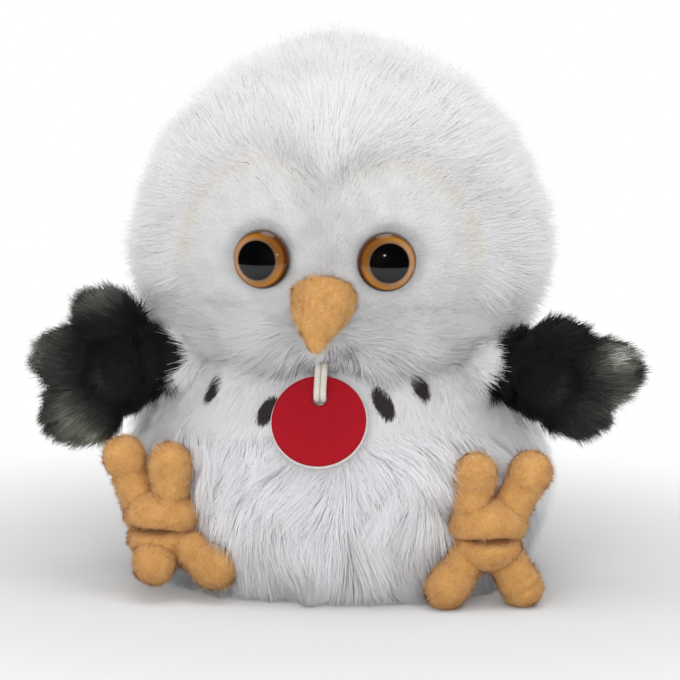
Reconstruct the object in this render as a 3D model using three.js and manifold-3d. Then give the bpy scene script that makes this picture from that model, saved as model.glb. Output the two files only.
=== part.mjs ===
// A sitting plush owl chick with long white pile, a short-pile face, plastic eyes, felt beak and feet,
// black lobed wings and a round tag. Millimetres and degrees, +Z up. The owl faces -Y, and left and right
// are as seen from its front, so right is +X. It sits on its flat base panel.
import * as THREE from "three";
import { mergeVertices } from "three/addons/utils/BufferGeometryUtils.js";
import Module from "manifold-3d";

const wasm = await Module();
wasm.setup();

// Fits that every piece shares
const seamGap = 0.3; // between two sewn or touching pieces
const overrun = 30; // how far a cutter runs past what it cuts
const weld = 0.0005; // vertices nearer than this are one
const neckHeight = 94; // the seam between head and body, above the table

// Body: a squat barrel of long pile
const body = {
  halfWidth: 87,
  halfDepth: 80,
  widest: 40,
  above: 74,
  below: 67,
  skin: 6,
  basePanel: 5,
  frontSpread: 75,
  chestSeamHeight: 68,
};

// Head: a ball of long pile that sits deep on the body
const head = {
  halfWidth: 86,
  halfDepth: 82,
  widest: 134,
  above: 86,
  below: 54,
  skin: 7,
  gussetHalfWidth: 23,
};

// Face: short pile in a heart-shaped outline, set back from the long pile round it. Rises and drops are
// from the head's widest height.
const face = {
  recess: 4,
  peakRise: 25,
  lobeAcross: 24,
  lobeRise: 41,
  sideAcross: 57,
  jawAcross: 46,
  jawDrop: 24,
  mouthDrop: 14,
};

// Cheeks: the fluffy panels under the face, down to the neck
const cheek = { across: 63, topDrop: 8 };

// Weighted bag in the seat
const pelletBag = { halfWidth: 46, halfDepth: 42, height: 26, bulge: 10 };

// Safety eyes: domed lens, black pupil on a ribbed post, and the washer that locks it behind the fabric
const eye = {
  across: 24,
  rise: 3.5,
  splay: 16,
  radius: 11.7,
  domeHeight: 7.8,
  rim: 1.4,
  sink: 1.2,
  pupilRadius: 7.2,
  pupilDepth: 2.4,
  postRadius: 2.4,
  postLength: 15,
  ribs: 4,
  ribPitch: 3,
  ribProud: 0.6,
  washerRadius: 9.5,
  washerHub: 4.6,
  washerThickness: 1.6,
  washerHubHeight: 3.4,
};

// Beak: a stuffed felt cone that points down and forward
const beak = {
  drop: 15,
  halfWidth: 13,
  halfHeight: 11.5,
  length: 27,
  tipRadius: 3.2,
  pitch: 42,
  rootInset: 7,
};

// Wings: lobed pads on a narrow root that is sewn into the side of the neck
const wing = {
  hingeAcross: 49,
  hingeForward: 35,
  restYaw: 10,
  rootRadius: 4.6,
  rootHalfHeight: 3.6,
};

// The lobes of a wing. Reach is along the wing from its hinge line, rise is above the neck seam, puff is
// half the thickness.
const wingLobes = {
  arm: { reach: 18, rise: -0.5, halfLength: 17, halfHeight: 7.5, puff: 3.6 },
  palm: { reach: 37, rise: -4, halfLength: 17.5, halfHeight: 17.5, puff: 8 },
  top: { reach: 43.5, rise: 10.5, halfLength: 14.5, halfHeight: 13.5, puff: 6.5 },
  tip: { reach: 58, rise: -1, halfLength: 15, halfHeight: 14, puff: 6 },
  low: { reach: 47, rise: -16.5, halfLength: 16.5, halfHeight: 14, puff: 6.5 },
};

// Feet: a felt middle folded at a stitched crease, with two toes up and two down. Standout is how far
// the middle of a foot stands out from the body's widest outline, and azimuth its place round the front.
const foot = {
  standout: 7.5,
  azimuth: 43.46,
  creaseHeight: 27.8,
  splay: 16,
  upperPad: { rise: 5.5, halfWidth: 14.5, halfDepth: 11.5, halfHeight: 9.5 },
  lowerPad: { rise: -4, halfWidth: 12.5, halfDepth: 11.5, halfHeight: 8.5 },
  creaseRelief: 15,
  toe: { rootRadius: 7.4, waistRadius: 7.3, tipRadius: 8.3 },
};

// How the toes of each foot splay. Across and rise place a toe's root on the foot's middle, reach is
// from there to the middle of its round tip, lean tips it towards +X from straight up or down, and
// forward tips it away from the belly.
const leftToes = {
  outerUp: { up: true, across: -8.5, rise: 9, reach: 20, lean: -21, forward: 4 },
  innerUp: { up: true, across: 4, rise: 9, reach: 17.5, lean: 1, forward: 4 },
  outerDown: { up: false, across: -3.5, rise: -5, reach: 13.5, lean: 22, forward: 54 },
  innerDown: { up: false, across: 7, rise: -4, reach: 19.5, lean: 59, forward: 6 },
};
const rightToes = {
  innerUp: { up: true, across: -6.5, rise: 9, reach: 16.5, lean: 3, forward: 4 },
  outerUp: { up: true, across: 8, rise: 9, reach: 19, lean: 27, forward: 4 },
  innerDown: { up: false, across: -6, rise: -5, reach: 18.5, lean: -36, forward: 8 },
  outerDown: { up: false, across: 5, rise: -5, reach: 17.3, lean: 30, forward: 8 },
};

// Tag: a red felt disc on a white backing disc, hung from the neck seam by a doubled cord
const tag = {
  radius: 18.6,
  faceThickness: 1.6,
  backingThickness: 1.2,
  backingMargin: 0.5,
  holeRadius: 2.9,
  holeToCentre: 9,
  across: -1.5,
  centreHeight: 73,
  cordRadius: 1.35,
  cordClear: 1.4,
  cordTurn: 2.6,
  cordSewnDepth: 3,
  bendGap: 1,
  knotHalfWidth: 3.6,
  knotHalfDepth: 1.5,
  knotHalfHeight: 2.9,
  knotRoom: 0.8,
};

// Fineness of the curved faces
const formSegments = 32;
const formRings = 12;
const padSegments = 14;
const padRings = 8;
const roundSegments = 24;
const domeSteps = 4;
const outlineSegments = 5;
const beakRings = 8;
const cordSegments = 4;
const liftSteps = 3; // places of the knot that its hollow clears
const liftStep = 7; // degrees between them

// Shares
const beakTipShare = 8; // how blunt the beak's tip is
const browShare = 1 / 3; // how far out the brows rise steeply
const jawShare = 1 / 2; // where the lower edge of the face turns up
const mouthShare = 1 / 3; // half the width of the face above the beak's sides
const rootShare = 0.7; // where the round of a toe's root turns
const strandShare = 0.9; // how close the two strands of the cord lie

const finish = {
  whitePile: { color: 0xe4e4e9, roughness: 0.95, metalness: 0 },
  facePile: { color: 0xd6d6d8, roughness: 0.95, metalness: 0 },
  blackPile: { color: 0x17191a, roughness: 0.85, metalness: 0 },
  goldFelt: { color: 0xd69c54, roughness: 0.95, metalness: 0 },
  redFelt: { color: 0xb3121f, roughness: 0.9, metalness: 0 },
  whiteFelt: { color: 0xe8dcd8, roughness: 0.9, metalness: 0 },
  cord: { color: 0xd8d2c4, roughness: 0.9, metalness: 0 },
  amber: { color: 0xc8862a, roughness: 0.12, metalness: 0 },
  blackPlastic: { color: 0x070606, roughness: 0.2, metalness: 0 },
  washer: { color: 0xe9e9e4, roughness: 0.5, metalness: 0 },
  fibre: { color: 0xf2f2f0, roughness: 1, metalness: 0 },
  calico: { color: 0xd9cfb8, roughness: 0.95, metalness: 0 },
};

const radians = THREE.MathUtils.degToRad;
const owl = new THREE.Group();
const sides = [
  { side: "left", sign: -1, toes: leftToes },
  { side: "right", sign: 1, toes: rightToes },
];

// A closed geometry as a solid that can be joined and cut
function solid(geometry) {
  const bare = geometry.clone();
  for (const attribute of Object.keys(bare.attributes)) {
    if (attribute !== "position") bare.deleteAttribute(attribute);
  }
  const merged = mergeVertices(bare, weld);
  const corners = merged.index.array;
  const kept = [];
  for (let i = 0; i < corners.length; i += 3) {
    const [a, b, c] = [corners[i], corners[i + 1], corners[i + 2]];
    if (a !== b && b !== c && c !== a) kept.push(a, b, c);
  }
  const make = (list) =>
    new wasm.Manifold(
      new wasm.Mesh({
        numProp: 3,
        vertProperties: new Float32Array(merged.attributes.position.array),
        triVerts: new Uint32Array(list),
      }),
    );
  const made = make(kept);
  return made.volume() > 0 ? made : make(kept.reverse());
}

function minus(shape, cutters) {
  return cutters.reduce((left, cutter) => left.subtract(cutter), shape);
}

// Adds a solid to the scene as one named mesh
function add(parent, name, shape, material) {
  const made = shape.getMesh();
  const geometry = new THREE.BufferGeometry();
  geometry.setAttribute("position", new THREE.BufferAttribute(made.vertProperties, 3));
  geometry.setIndex(new THREE.BufferAttribute(made.triVerts, 1));
  geometry.computeVertexNormals();
  const mesh = new THREE.Mesh(geometry, new THREE.MeshStandardMaterial(material));
  mesh.name = name;
  parent.add(mesh);
}

// A group at a place, turned about the vertical, whose pieces are made in its own frame
function groupAt(x, y, z, turn) {
  const group = new THREE.Group();
  group.position.set(x, y, z);
  group.rotation.z = radians(turn);
  group.updateMatrixWorld(true);
  owl.add(group);
  return group;
}

// A geometry of the whole owl, seen in the frame of one of its groups
function seenFrom(group, geometry) {
  return geometry.clone().applyMatrix4(group.matrixWorld.clone().invert());
}

function block(x0, x1, y0, y1, z0, z1) {
  const geometry = new THREE.BoxGeometry(x1 - x0, y1 - y0, z1 - z0);
  return geometry.translate((x0 + x1) / 2, (y0 + y1) / 2, (z0 + z1) / 2);
}

// A revolved profile of [radius, height] pairs that starts and ends on the axis, standing along +Z
function turned(profile, segments) {
  const points = profile.map(([radius, height]) => new THREE.Vector2(radius, height));
  return new THREE.LatheGeometry(points, segments).rotateX(Math.PI / 2);
}

function pad(halfWidth, halfDepth, halfHeight) {
  const ball = new THREE.SphereGeometry(1, padSegments, padRings).rotateX(Math.PI / 2);
  return ball.scale(halfWidth, halfDepth, halfHeight);
}

// A round stuffed form: one half ellipse above its widest height and another below. Grow is added all
// round, and below zero it gives the space inside a skin.
function roundForm(form, grow) {
  const width = form.halfWidth + grow;
  const profile = [];
  for (let ring = 0; ring <= formRings; ring += 1) {
    const angle = (Math.PI * ring) / formRings - Math.PI / 2;
    const reach = angle < 0 ? form.below + grow : form.above + grow;
    profile.push([width * Math.cos(angle), form.widest + reach * Math.sin(angle)]);
  }
  profile[0][0] = 0;
  profile[formRings][0] = 0;
  return turned(profile, formSegments).scale(1, (form.halfDepth + grow) / width, 1);
}

// The same as a solid, cut flat at two heights
function roundSolid(form, grow, bottom, top) {
  return solid(roundForm(form, grow)).intersect(reachBlock(-reachOut, reachOut, bottom, top));
}

// How far the front of a form stands from its axis at one height
function frontOf(form, height) {
  const reach = height < form.widest ? form.below : form.above;
  return form.halfDepth * Math.sqrt(1 - ((height - form.widest) / reach) ** 2);
}

const baseTop = body.basePanel + seamGap;
const bodyTop = neckHeight - seamGap / 2;
const headBottom = neckHeight + seamGap / 2;
const headTop = head.widest + head.above;
const seatHeight = -overrun;
const skyHeight = headTop + overrun;
const reachOut = body.halfWidth + overrun;

const halfGap = seamGap / 2;

// A block as wide and deep as everything, between two sides and two heights
function reachBlock(x0, x1, z0, z1) {
  return solid(block(x0, x1, -reachOut, reachOut, z0, z1));
}

// Wings

// The pocket in the neck that holds a wing's root, with room for it to turn
function wingRoot(sign, grow) {
  const radius = wing.rootRadius + grow;
  const root = new THREE.CylinderGeometry(radius, radius, 2 * (wing.rootHalfHeight + grow), padSegments);
  return root.rotateX(Math.PI / 2).translate(sign * wing.hingeAcross, -wing.hingeForward, neckHeight);
}

function addWing(side, sign) {
  const place = [sign * wing.hingeAcross, -wing.hingeForward, neckHeight];
  const group = groupAt(...place, -sign * wing.restYaw);
  let whole = solid(seenFrom(group, wingRoot(sign, 0)));
  for (const lobe of Object.values(wingLobes)) {
    const puffed = pad(lobe.halfLength, lobe.puff, lobe.halfHeight);
    whole = whole.add(solid(puffed.translate(sign * lobe.reach, 0, lobe.rise)));
  }
  const half = (near, far) => solid(block(-reachOut, reachOut, near, far, -reachOut, reachOut));
  add(group, `wing_${side}_front`, whole.intersect(half(-overrun, -halfGap)), finish.blackPile);
  add(group, `wing_${side}_back`, whole.intersect(half(halfGap, overrun)), finish.blackPile);
}

// Eyes

const shankRadius = eye.postRadius + eye.ribProud;
const faceSkin = head.skin - face.recess;
const washerSag = eye.washerRadius ** 2 / (2 * (head.halfDepth - head.skin));
const washerFront = eye.sink - faceSkin - washerSag - seamGap;

// How far the short-pile face stands in front of the head's axis, at its widest height
function faceFront(across) {
  const width = head.halfWidth - face.recess;
  return (head.halfDepth - face.recess) * Math.sqrt(1 - (across / width) ** 2);
}

// The frame of an eye: its middle lies in the seat on the face, and -Y looks out
function eyeGroup(sign) {
  const seat = faceFront(eye.across) - eye.sink;
  return groupAt(sign * eye.across, -seat, head.widest + eye.rise, sign * eye.splay);
}

// A revolved profile whose heights run outwards from the face
function outward(profile, segments) {
  return turned(profile, segments).rotateX(Math.PI / 2);
}

function lensProfile() {
  const pocket = eye.pupilRadius + seamGap;
  const profile = [[0, eye.pupilDepth], [pocket, eye.pupilDepth], [pocket, 0], [eye.radius, 0]];
  const dome = eye.domeHeight - eye.rim;
  for (let step = 0; step < domeSteps; step += 1) {
    const angle = ((Math.PI / 2) * step) / domeSteps;
    profile.push([eye.radius * Math.cos(angle), eye.rim + dome * Math.sin(angle)]);
  }
  profile.push([0, eye.domeHeight]);
  return profile;
}

function postProfile() {
  const profile = [[0, -eye.postLength], [eye.postRadius, -eye.postLength]];
  for (let rib = 0; rib < eye.ribs; rib += 1) {
    const root = -eye.postLength + (rib + 1 / 2) * eye.ribPitch;
    profile.push([eye.postRadius, root], [shankRadius, root + eye.ribPitch / 2]);
    profile.push([eye.postRadius, root + eye.ribPitch / 2]);
  }
  const pupilTop = eye.pupilDepth - seamGap;
  profile.push([eye.postRadius, 0], [eye.pupilRadius, 0], [eye.pupilRadius, pupilTop], [0, pupilTop]);
  return profile;
}

function washerProfile() {
  const bore = shankRadius + seamGap;
  const back = washerFront - eye.washerThickness;
  const hubBack = washerFront - eye.washerHubHeight;
  return [
    [bore, hubBack], [eye.washerHub, hubBack], [eye.washerHub, back], [eye.washerRadius, back],
    [eye.washerRadius, washerFront], [bore, washerFront], [bore, hubBack],
  ];
}

// What an eye takes out of the face, whose back lies flat on the washer, and out of the filling
function eyeRoom(group) {
  const shank = shankRadius + seamGap;
  const washer = eye.washerRadius + seamGap;
  const end = -eye.postLength - seamGap;
  const room = (profile) =>
    solid(outward([[0, end], ...profile, [0, profile.at(-1)[1]]], roundSegments).applyMatrix4(group.matrixWorld));
  const seat = washerFront + seamGap;
  const lens = eye.radius + seamGap;
  const hubBack = washerFront - eye.washerHubHeight - seamGap;
  return {
    inFace: room([[washer, end], [washer, seat], [shank, seat], [shank, -seamGap], [lens, -seamGap],
      [lens, overrun]]),
    inFilling: room([[shank, end], [shank, hubBack], [washer, hubBack], [washer, overrun]]),
  };
}

function addEye(side, group) {
  add(group, `eye_${side}_lens`, solid(outward(lensProfile(), roundSegments)), finish.amber);
  add(group, `eye_${side}_post`, solid(outward(postProfile(), padSegments)), finish.blackPlastic);
  add(group, `eye_${side}_washer`, solid(outward(washerProfile(), padSegments)), finish.washer);
}

// Beak: made along +Z from its root, then tipped so that its tip points forward and down
function beakForm(grow) {
  const length = beak.length + grow;
  const profile = [[0, -beak.rootInset]];
  for (let ring = 0; ring < beakRings; ring += 1) {
    const along = ring / beakRings;
    const cone = ((beak.halfWidth - beak.tipRadius) * (1 + Math.cos(Math.PI * along))) / 2;
    const tip = beak.tipRadius * Math.sqrt(1 - along ** beakTipShare);
    profile.push([cone + tip + grow, length * along - beak.rootInset]);
  }
  profile.push([0, length - beak.rootInset]);
  const cone = turned(profile, padSegments).scale(1, beak.halfHeight / beak.halfWidth, 1);
  cone.rotateX(Math.PI / 2 + radians(beak.pitch));
  return solid(cone.translate(0, -faceFront(0), head.widest - beak.drop));
}

// Head

// The face's heart-shaped outline, pushed forward from the head's middle
function heart(grow) {
  const peak = head.widest + face.peakRise + grow;
  const lobe = head.widest + face.lobeRise + grow;
  const shoulder = head.widest + face.lobeRise / 2;
  const side = face.sideAcross + grow;
  const jaw = face.jawAcross + grow;
  const jawHeight = head.widest - face.jawDrop - grow;
  const mouth = head.widest - face.mouthDrop - grow;
  const shape = new THREE.Shape();
  shape.moveTo(0, peak);
  shape.quadraticCurveTo(face.lobeAcross * browShare, lobe, face.lobeAcross, lobe);
  shape.bezierCurveTo((face.lobeAcross + side) / 2, lobe, side, shoulder, side, head.widest);
  shape.quadraticCurveTo(side, jawHeight, jaw, jawHeight);
  shape.quadraticCurveTo(jaw * jawShare, jawHeight, jaw * mouthShare, mouth);
  shape.lineTo(-jaw * mouthShare, mouth);
  shape.quadraticCurveTo(-jaw * jawShare, jawHeight, -jaw, jawHeight);
  shape.quadraticCurveTo(-side, jawHeight, -side, head.widest);
  shape.bezierCurveTo(-side, shoulder, -(face.lobeAcross + side) / 2, lobe, -face.lobeAcross, lobe);
  shape.quadraticCurveTo(-face.lobeAcross * browShare, lobe, 0, peak);
  const pushed = new THREE.ExtrudeGeometry(shape, {
    depth: reachOut, bevelEnabled: false, curveSegments: outlineSegments,
  });
  return solid(pushed.rotateX(Math.PI / 2));
}

function cheekRegion(grow) {
  const half = cheek.across + grow;
  return solid(block(-half, half, -reachOut, grow, seatHeight, head.widest - cheek.topDrop + grow));
}

function addHead(rooms, eyeRooms, beakSolid) {
  const inside = solid(roundForm(head, -head.skin));
  const heartWide = heart(seamGap);
  const skin = minus(roundSolid(head, 0, headBottom, skyHeight), [inside, ...rooms]);
  const aroundFace = skin.subtract(heartWide);
  const faceSkins = minus(roundSolid(head, -face.recess, headBottom, skyHeight), [
    inside, beakForm(seamGap), ...eyeRooms.map((room) => room.inFace),
  ]).intersect(heart(0));
  const cheeks = aroundFace.intersect(cheekRegion(0)).subtract(beakForm(seamGap));
  const crown = aroundFace.subtract(cheekRegion(seamGap));
  const strip = head.gussetHalfWidth;
  add(owl, "head_gusset", crown.intersect(reachBlock(halfGap - strip, strip - halfGap, seatHeight, skyHeight)),
    finish.whitePile);
  for (const { side, sign } of sides) {
    const outer = (from) => {
      const [x0, x1] = sign > 0 ? [from, reachOut] : [-reachOut, -from];
      return reachBlock(x0, x1, seatHeight, skyHeight);
    };
    add(owl, `head_side_${side}`, crown.intersect(outer(strip + halfGap)), finish.whitePile);
    add(owl, `face_${side}`, faceSkins.intersect(outer(halfGap)), finish.facePile);
    add(owl, `cheek_${side}`, cheeks.intersect(outer(halfGap)), finish.whitePile);
  }
  const filling = roundSolid(head, -head.skin - seamGap, headBottom, skyHeight);
  add(owl, "head_stuffing", minus(filling, [...rooms, ...eyeRooms.map((room) => room.inFilling)]), finish.fibre);
  const faceLevel = solid(roundForm(head, seamGap - face.recess));
  add(owl, "beak", beakSolid.subtract(faceLevel), finish.goldFelt);
}

// Body

// The front of the body, out to its two side seams
function frontSector() {
  const angle = radians(body.frontSpread);
  const across = reachOut * Math.sin(angle);
  const back = -reachOut * Math.cos(angle);
  const shape = new THREE.Shape();
  shape.moveTo(0, 0);
  shape.lineTo(-across, back);
  shape.lineTo(-across, -reachOut);
  shape.lineTo(across, -reachOut);
  shape.lineTo(across, back);
  const sector = new THREE.ExtrudeGeometry(shape, { depth: skyHeight - seatHeight, bevelEnabled: false });
  return solid(sector.translate(0, 0, seatHeight));
}

// A thin upright slab from the body's axis outwards, as the gap of one seam
function seamSlab(azimuth) {
  const slab = block(0, reachOut, -halfGap, halfGap, seatHeight, skyHeight);
  return solid(slab.rotateZ(radians(azimuth - 90)));
}

function bagForm(grow) {
  const bag = {
    halfWidth: pelletBag.halfWidth,
    halfDepth: pelletBag.halfDepth,
    widest: baseTop + pelletBag.bulge,
    above: pelletBag.height - pelletBag.bulge,
    below: pelletBag.height - pelletBag.bulge,
  };
  return roundSolid(bag, grow, baseTop - grow, skyHeight);
}

function addBody(rooms) {
  const seams = [-body.frontSpread, body.frontSpread].map(seamSlab);
  const skin = minus(roundSolid(body, 0, baseTop, bodyTop), [
    solid(roundForm(body, -body.skin)), ...rooms, ...seams,
  ]);
  const sector = frontSector();
  const front = skin.intersect(sector);
  const rear = skin.subtract(sector);
  const seam = body.chestSeamHeight;
  const rows = (z0, z1) => reachBlock(-reachOut, reachOut, z0, z1);
  add(owl, "chest_panel", front.intersect(rows(seam + halfGap, skyHeight)), finish.whitePile);
  add(owl, "belly_panel", front.intersect(rows(seatHeight, seam - halfGap)), finish.whitePile);
  add(owl, "back_panel_left", rear.intersect(reachBlock(-reachOut, -halfGap, seatHeight, skyHeight)),
    finish.whitePile);
  add(owl, "back_panel_right", rear.intersect(reachBlock(halfGap, reachOut, seatHeight, skyHeight)),
    finish.whitePile);
  add(owl, "base_panel", roundSolid(body, 0, 0, body.basePanel), finish.whitePile);
  add(owl, "pellet_bag", bagForm(0), finish.calico);
  const filling = roundSolid(body, -body.skin - seamGap, baseTop, bodyTop);
  add(owl, "body_stuffing", minus(filling, [...rooms, bagForm(seamGap)]), finish.fibre);
}

// Feet

// Everything above the crease, or everything below it. The two faces open towards the front, so that
// the upper half can fold forward.
function creaseHalf(up) {
  const rise = reachOut * Math.tan(radians(foot.creaseRelief));
  const shape = new THREE.Shape();
  shape.moveTo(reachOut, up * halfGap);
  shape.lineTo(0, up * halfGap);
  shape.lineTo(-reachOut, up * (halfGap + rise));
  shape.lineTo(-reachOut, up * reachOut);
  shape.lineTo(reachOut, up * reachOut);
  const wedge = new THREE.ExtrudeGeometry(shape, { depth: 2 * reachOut, bevelEnabled: false });
  return solid(wedge.translate(0, 0, -reachOut).rotateX(Math.PI / 2).rotateZ(Math.PI / 2));
}

function footPad(size, grow) {
  return solid(pad(size.halfWidth + grow, size.halfDepth + grow, size.halfHeight + grow).translate(0, 0, size.rise));
}

// A toe along +Z from its root: a slight waist, then a fuller round tip
function toeForm(place, grow) {
  const { rootRadius, waistRadius, tipRadius } = foot.toe;
  const profile = [[0, -rootRadius - grow], [rootRadius * rootShare + grow, -rootRadius * rootShare]];
  profile.push([rootRadius + grow, 0], [waistRadius + grow, place.reach / 2]);
  profile.push([tipRadius + grow, place.reach]);
  for (let step = 1; step < domeSteps; step += 1) {
    const angle = ((Math.PI / 2) * step) / domeSteps;
    profile.push([(tipRadius + grow) * Math.cos(angle), place.reach + (tipRadius + grow) * Math.sin(angle)]);
  }
  profile.push([0, place.reach + tipRadius + grow]);
  const turn = place.up ? place.lean : 180 - place.lean;
  const toe = turned(profile, padSegments).rotateY(radians(turn));
  toe.rotateX(radians(place.up ? place.forward : -place.forward));
  return solid(toe.translate(place.across, 0, place.rise));
}

function addFoot({ side, sign, toes }) {
  const height = foot.creaseHeight;
  const across = (body.halfWidth + foot.standout) * Math.sin(radians(foot.azimuth));
  const forward = (body.halfDepth + foot.standout) * Math.cos(radians(foot.azimuth));
  const group = groupAt(sign * across, -forward, height, sign * foot.splay);
  const behind = solid(seenFrom(group, roundForm(body, seamGap)));
  const above = solid(block(-reachOut, reachOut, -reachOut, reachOut, -height, reachOut));
  for (const up of [true, false]) {
    const size = up ? foot.upperPad : foot.lowerPad;
    const half = creaseHalf(up ? 1 : -1);
    const fit = (shape) => shape.subtract(behind).intersect(above).intersect(half);
    add(group, `foot_${side}_${up ? "upper" : "lower"}_pad`, fit(footPad(size, 0)), finish.goldFelt);
    const around = [footPad(size, seamGap)];
    Object.values(toes).forEach((place, index) => {
      if (place.up !== up) return;
      add(group, `foot_${side}_toe_${index + 1}`, fit(minus(toeForm(place, 0), around)), finish.goldFelt);
      around.push(toeForm(place, seamGap));
    });
  }
}

// Tag

const tagSlope = (tag.centreHeight - body.widest) / body.above;
const chestFront = body.halfDepth * Math.sqrt(1 - tagSlope ** 2);
const tagLean = Math.atan((body.halfDepth / body.above) * (tagSlope / Math.sqrt(1 - tagSlope ** 2)));
const tagFront = tag.backingThickness + seamGap + tag.faceThickness;

// The tag's frame: its middle is the hole at the back of the backing, +Z runs up the disc, +Y into the chest
function tagFrame() {
  const along = tag.holeToCentre;
  const group = new THREE.Group();
  group.position.set(
    tag.across,
    -chestFront - seamGap * Math.cos(tagLean) + along * Math.sin(tagLean),
    tag.centreHeight + seamGap * Math.sin(tagLean) + along * Math.cos(tagLean),
  );
  group.rotation.x = -tagLean;
  group.updateMatrixWorld(true);
  owl.add(group);
  return group;
}

function disc(radius, thickness, front) {
  const shape = new THREE.Shape();
  shape.absarc(0, -tag.holeToCentre, radius, 0, 2 * Math.PI);
  const hole = new THREE.Path();
  hole.absarc(0, 0, tag.holeRadius, 0, 2 * Math.PI);
  shape.holes.push(hole);
  const plate = new THREE.ExtrudeGeometry(shape, {
    depth: thickness, bevelEnabled: false, curveSegments: roundSegments / 2,
  });
  return solid(plate.rotateX(Math.PI / 2).translate(0, -front, 0));
}

// Two strands side by side along one path
function doubleCord(points, grow) {
  const path = new THREE.CatmullRomCurve3(points.map(([y, z]) => new THREE.Vector3(0, y, z)));
  const section = new THREE.Shape();
  section.absarc(0, 0, tag.cordRadius + grow, 0, 2 * Math.PI);
  const apart = tag.cordRadius * strandShare;
  const strand = new THREE.ExtrudeGeometry(section, {
    steps: 2 * points.length, curveSegments: cordSegments, bevelEnabled: false, extrudePath: path,
  });
  const beside = strand.clone().translate(-apart, 0, 0);
  return solid(strand.translate(apart, 0, 0)).add(solid(beside));
}

function knotForm(grow) {
  const knot = pad(tag.knotHalfWidth + grow, tag.knotHalfDepth + grow, tag.knotHalfHeight + grow);
  return knot.translate(0, seamGap + tag.knotHalfDepth, 0);
}

// Where the cord bends, in the tag's frame: over the tag's top edge and in front of its face
const cordOut = tagFront + seamGap + tag.cordRadius;
const bendHeight = tag.radius + tag.backingMargin - tag.holeToCentre + tag.cordClear + tag.cordRadius;

function stubPoints(group, startDepth) {
  const seam = new THREE.Vector3(tag.across, startDepth - frontOf(body, bodyTop), neckHeight);
  const { y, z } = group.worldToLocal(seam);
  const [dy, dz] = [y + cordOut, z - bendHeight];
  const span = Math.hypot(dy, dz);
  const gapShare = tag.bendGap / span;
  return [[y, z], [y - dy / 2, z - dz / 2], [dy * gapShare - cordOut, bendHeight + dz * gapShare]];
}

function addTag(group) {
  const turn = tag.cordTurn;
  const down = [
    [-cordOut, bendHeight - tag.bendGap], [-cordOut, (bendHeight + turn) / 2], [-cordOut, turn],
  ];
  for (let step = 1; step <= domeSteps; step += 1) {
    const angle = ((Math.PI / 2) * step) / domeSteps;
    down.push([turn - cordOut - turn * Math.cos(angle), turn - turn * Math.sin(angle)]);
  }
  down.push([0, 0]);
  add(group, "tag_cord", doubleCord(down, 0), finish.cord);
  add(group, "tag_knot", solid(knotForm(0)), finish.cord);
  add(group, "tag_cord_root", doubleCord(stubPoints(group, tag.cordSewnDepth), 0), finish.cord);
  add(group, "tag_backing", disc(tag.radius + tag.backingMargin, tag.backingThickness, 0), finish.whiteFelt);
  add(group, "tag_face", disc(tag.radius, tag.faceThickness, tag.backingThickness + seamGap), finish.redFelt);
}

// What the tag takes out of the pile behind it: the sewn end of its cord, and a hollow from which its
// knot swings clear as the tag is lifted
function tagRooms(group) {
  const place = (geometry) => solid(geometry.applyMatrix4(group.matrixWorld));
  const root = doubleCord(stubPoints(group, tag.cordSewnDepth + seamGap), seamGap);
  const rooms = [root.transform(group.matrixWorld.toArray())];
  for (let step = 0; step <= liftSteps; step += 1) {
    const knot = knotForm(tag.knotRoom).translate(0, cordOut, -bendHeight);
    knot.rotateX(-radians(step * liftStep)).translate(0, -cordOut, bendHeight);
    rooms.push(place(knot));
  }
  return rooms;
}

const eyeGroups = sides.map(({ sign }) => eyeGroup(sign));
const tagGroup = tagFrame();
const rooms = [...sides.map(({ sign }) => solid(wingRoot(sign, seamGap))), ...tagRooms(tagGroup)];
addHead(rooms, eyeGroups.map(eyeRoom), beakForm(0));
addBody(rooms);
sides.forEach(({ side, sign }, index) => {
  addEye(side, eyeGroups[index]);
  addWing(side, sign);
});
sides.forEach(addFoot);
addTag(tagGroup);

// The part's own origin is the middle of its foot print
const whole = new THREE.Box3().setFromObject(owl);
const middle = whole.getCenter(new THREE.Vector3());
owl.position.set(-middle.x, -middle.y, -whole.min.z);

export default owl;
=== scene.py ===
import math

import bmesh
import bpy
import numpy as np
from mathutils import Matrix, Vector


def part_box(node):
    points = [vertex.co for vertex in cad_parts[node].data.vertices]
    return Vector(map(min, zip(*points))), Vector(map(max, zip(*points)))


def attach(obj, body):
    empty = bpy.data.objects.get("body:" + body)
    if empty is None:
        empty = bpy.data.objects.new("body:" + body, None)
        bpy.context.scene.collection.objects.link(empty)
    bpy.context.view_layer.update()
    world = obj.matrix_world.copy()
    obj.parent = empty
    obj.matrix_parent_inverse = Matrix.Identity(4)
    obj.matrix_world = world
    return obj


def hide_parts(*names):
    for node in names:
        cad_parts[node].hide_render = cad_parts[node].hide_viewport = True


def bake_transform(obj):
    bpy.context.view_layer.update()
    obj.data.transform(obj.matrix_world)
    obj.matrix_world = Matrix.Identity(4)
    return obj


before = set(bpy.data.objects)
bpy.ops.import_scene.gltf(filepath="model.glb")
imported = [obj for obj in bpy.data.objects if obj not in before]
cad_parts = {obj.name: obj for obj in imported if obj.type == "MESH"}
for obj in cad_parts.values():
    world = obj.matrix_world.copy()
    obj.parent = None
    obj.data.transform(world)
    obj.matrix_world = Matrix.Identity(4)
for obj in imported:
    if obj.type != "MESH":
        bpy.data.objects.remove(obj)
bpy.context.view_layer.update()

mm = 0.001
bagLow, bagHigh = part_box("pellet_bag")
axisY = (bagLow.y + bagHigh.y) / 2  # the upright axis of head and body


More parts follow.
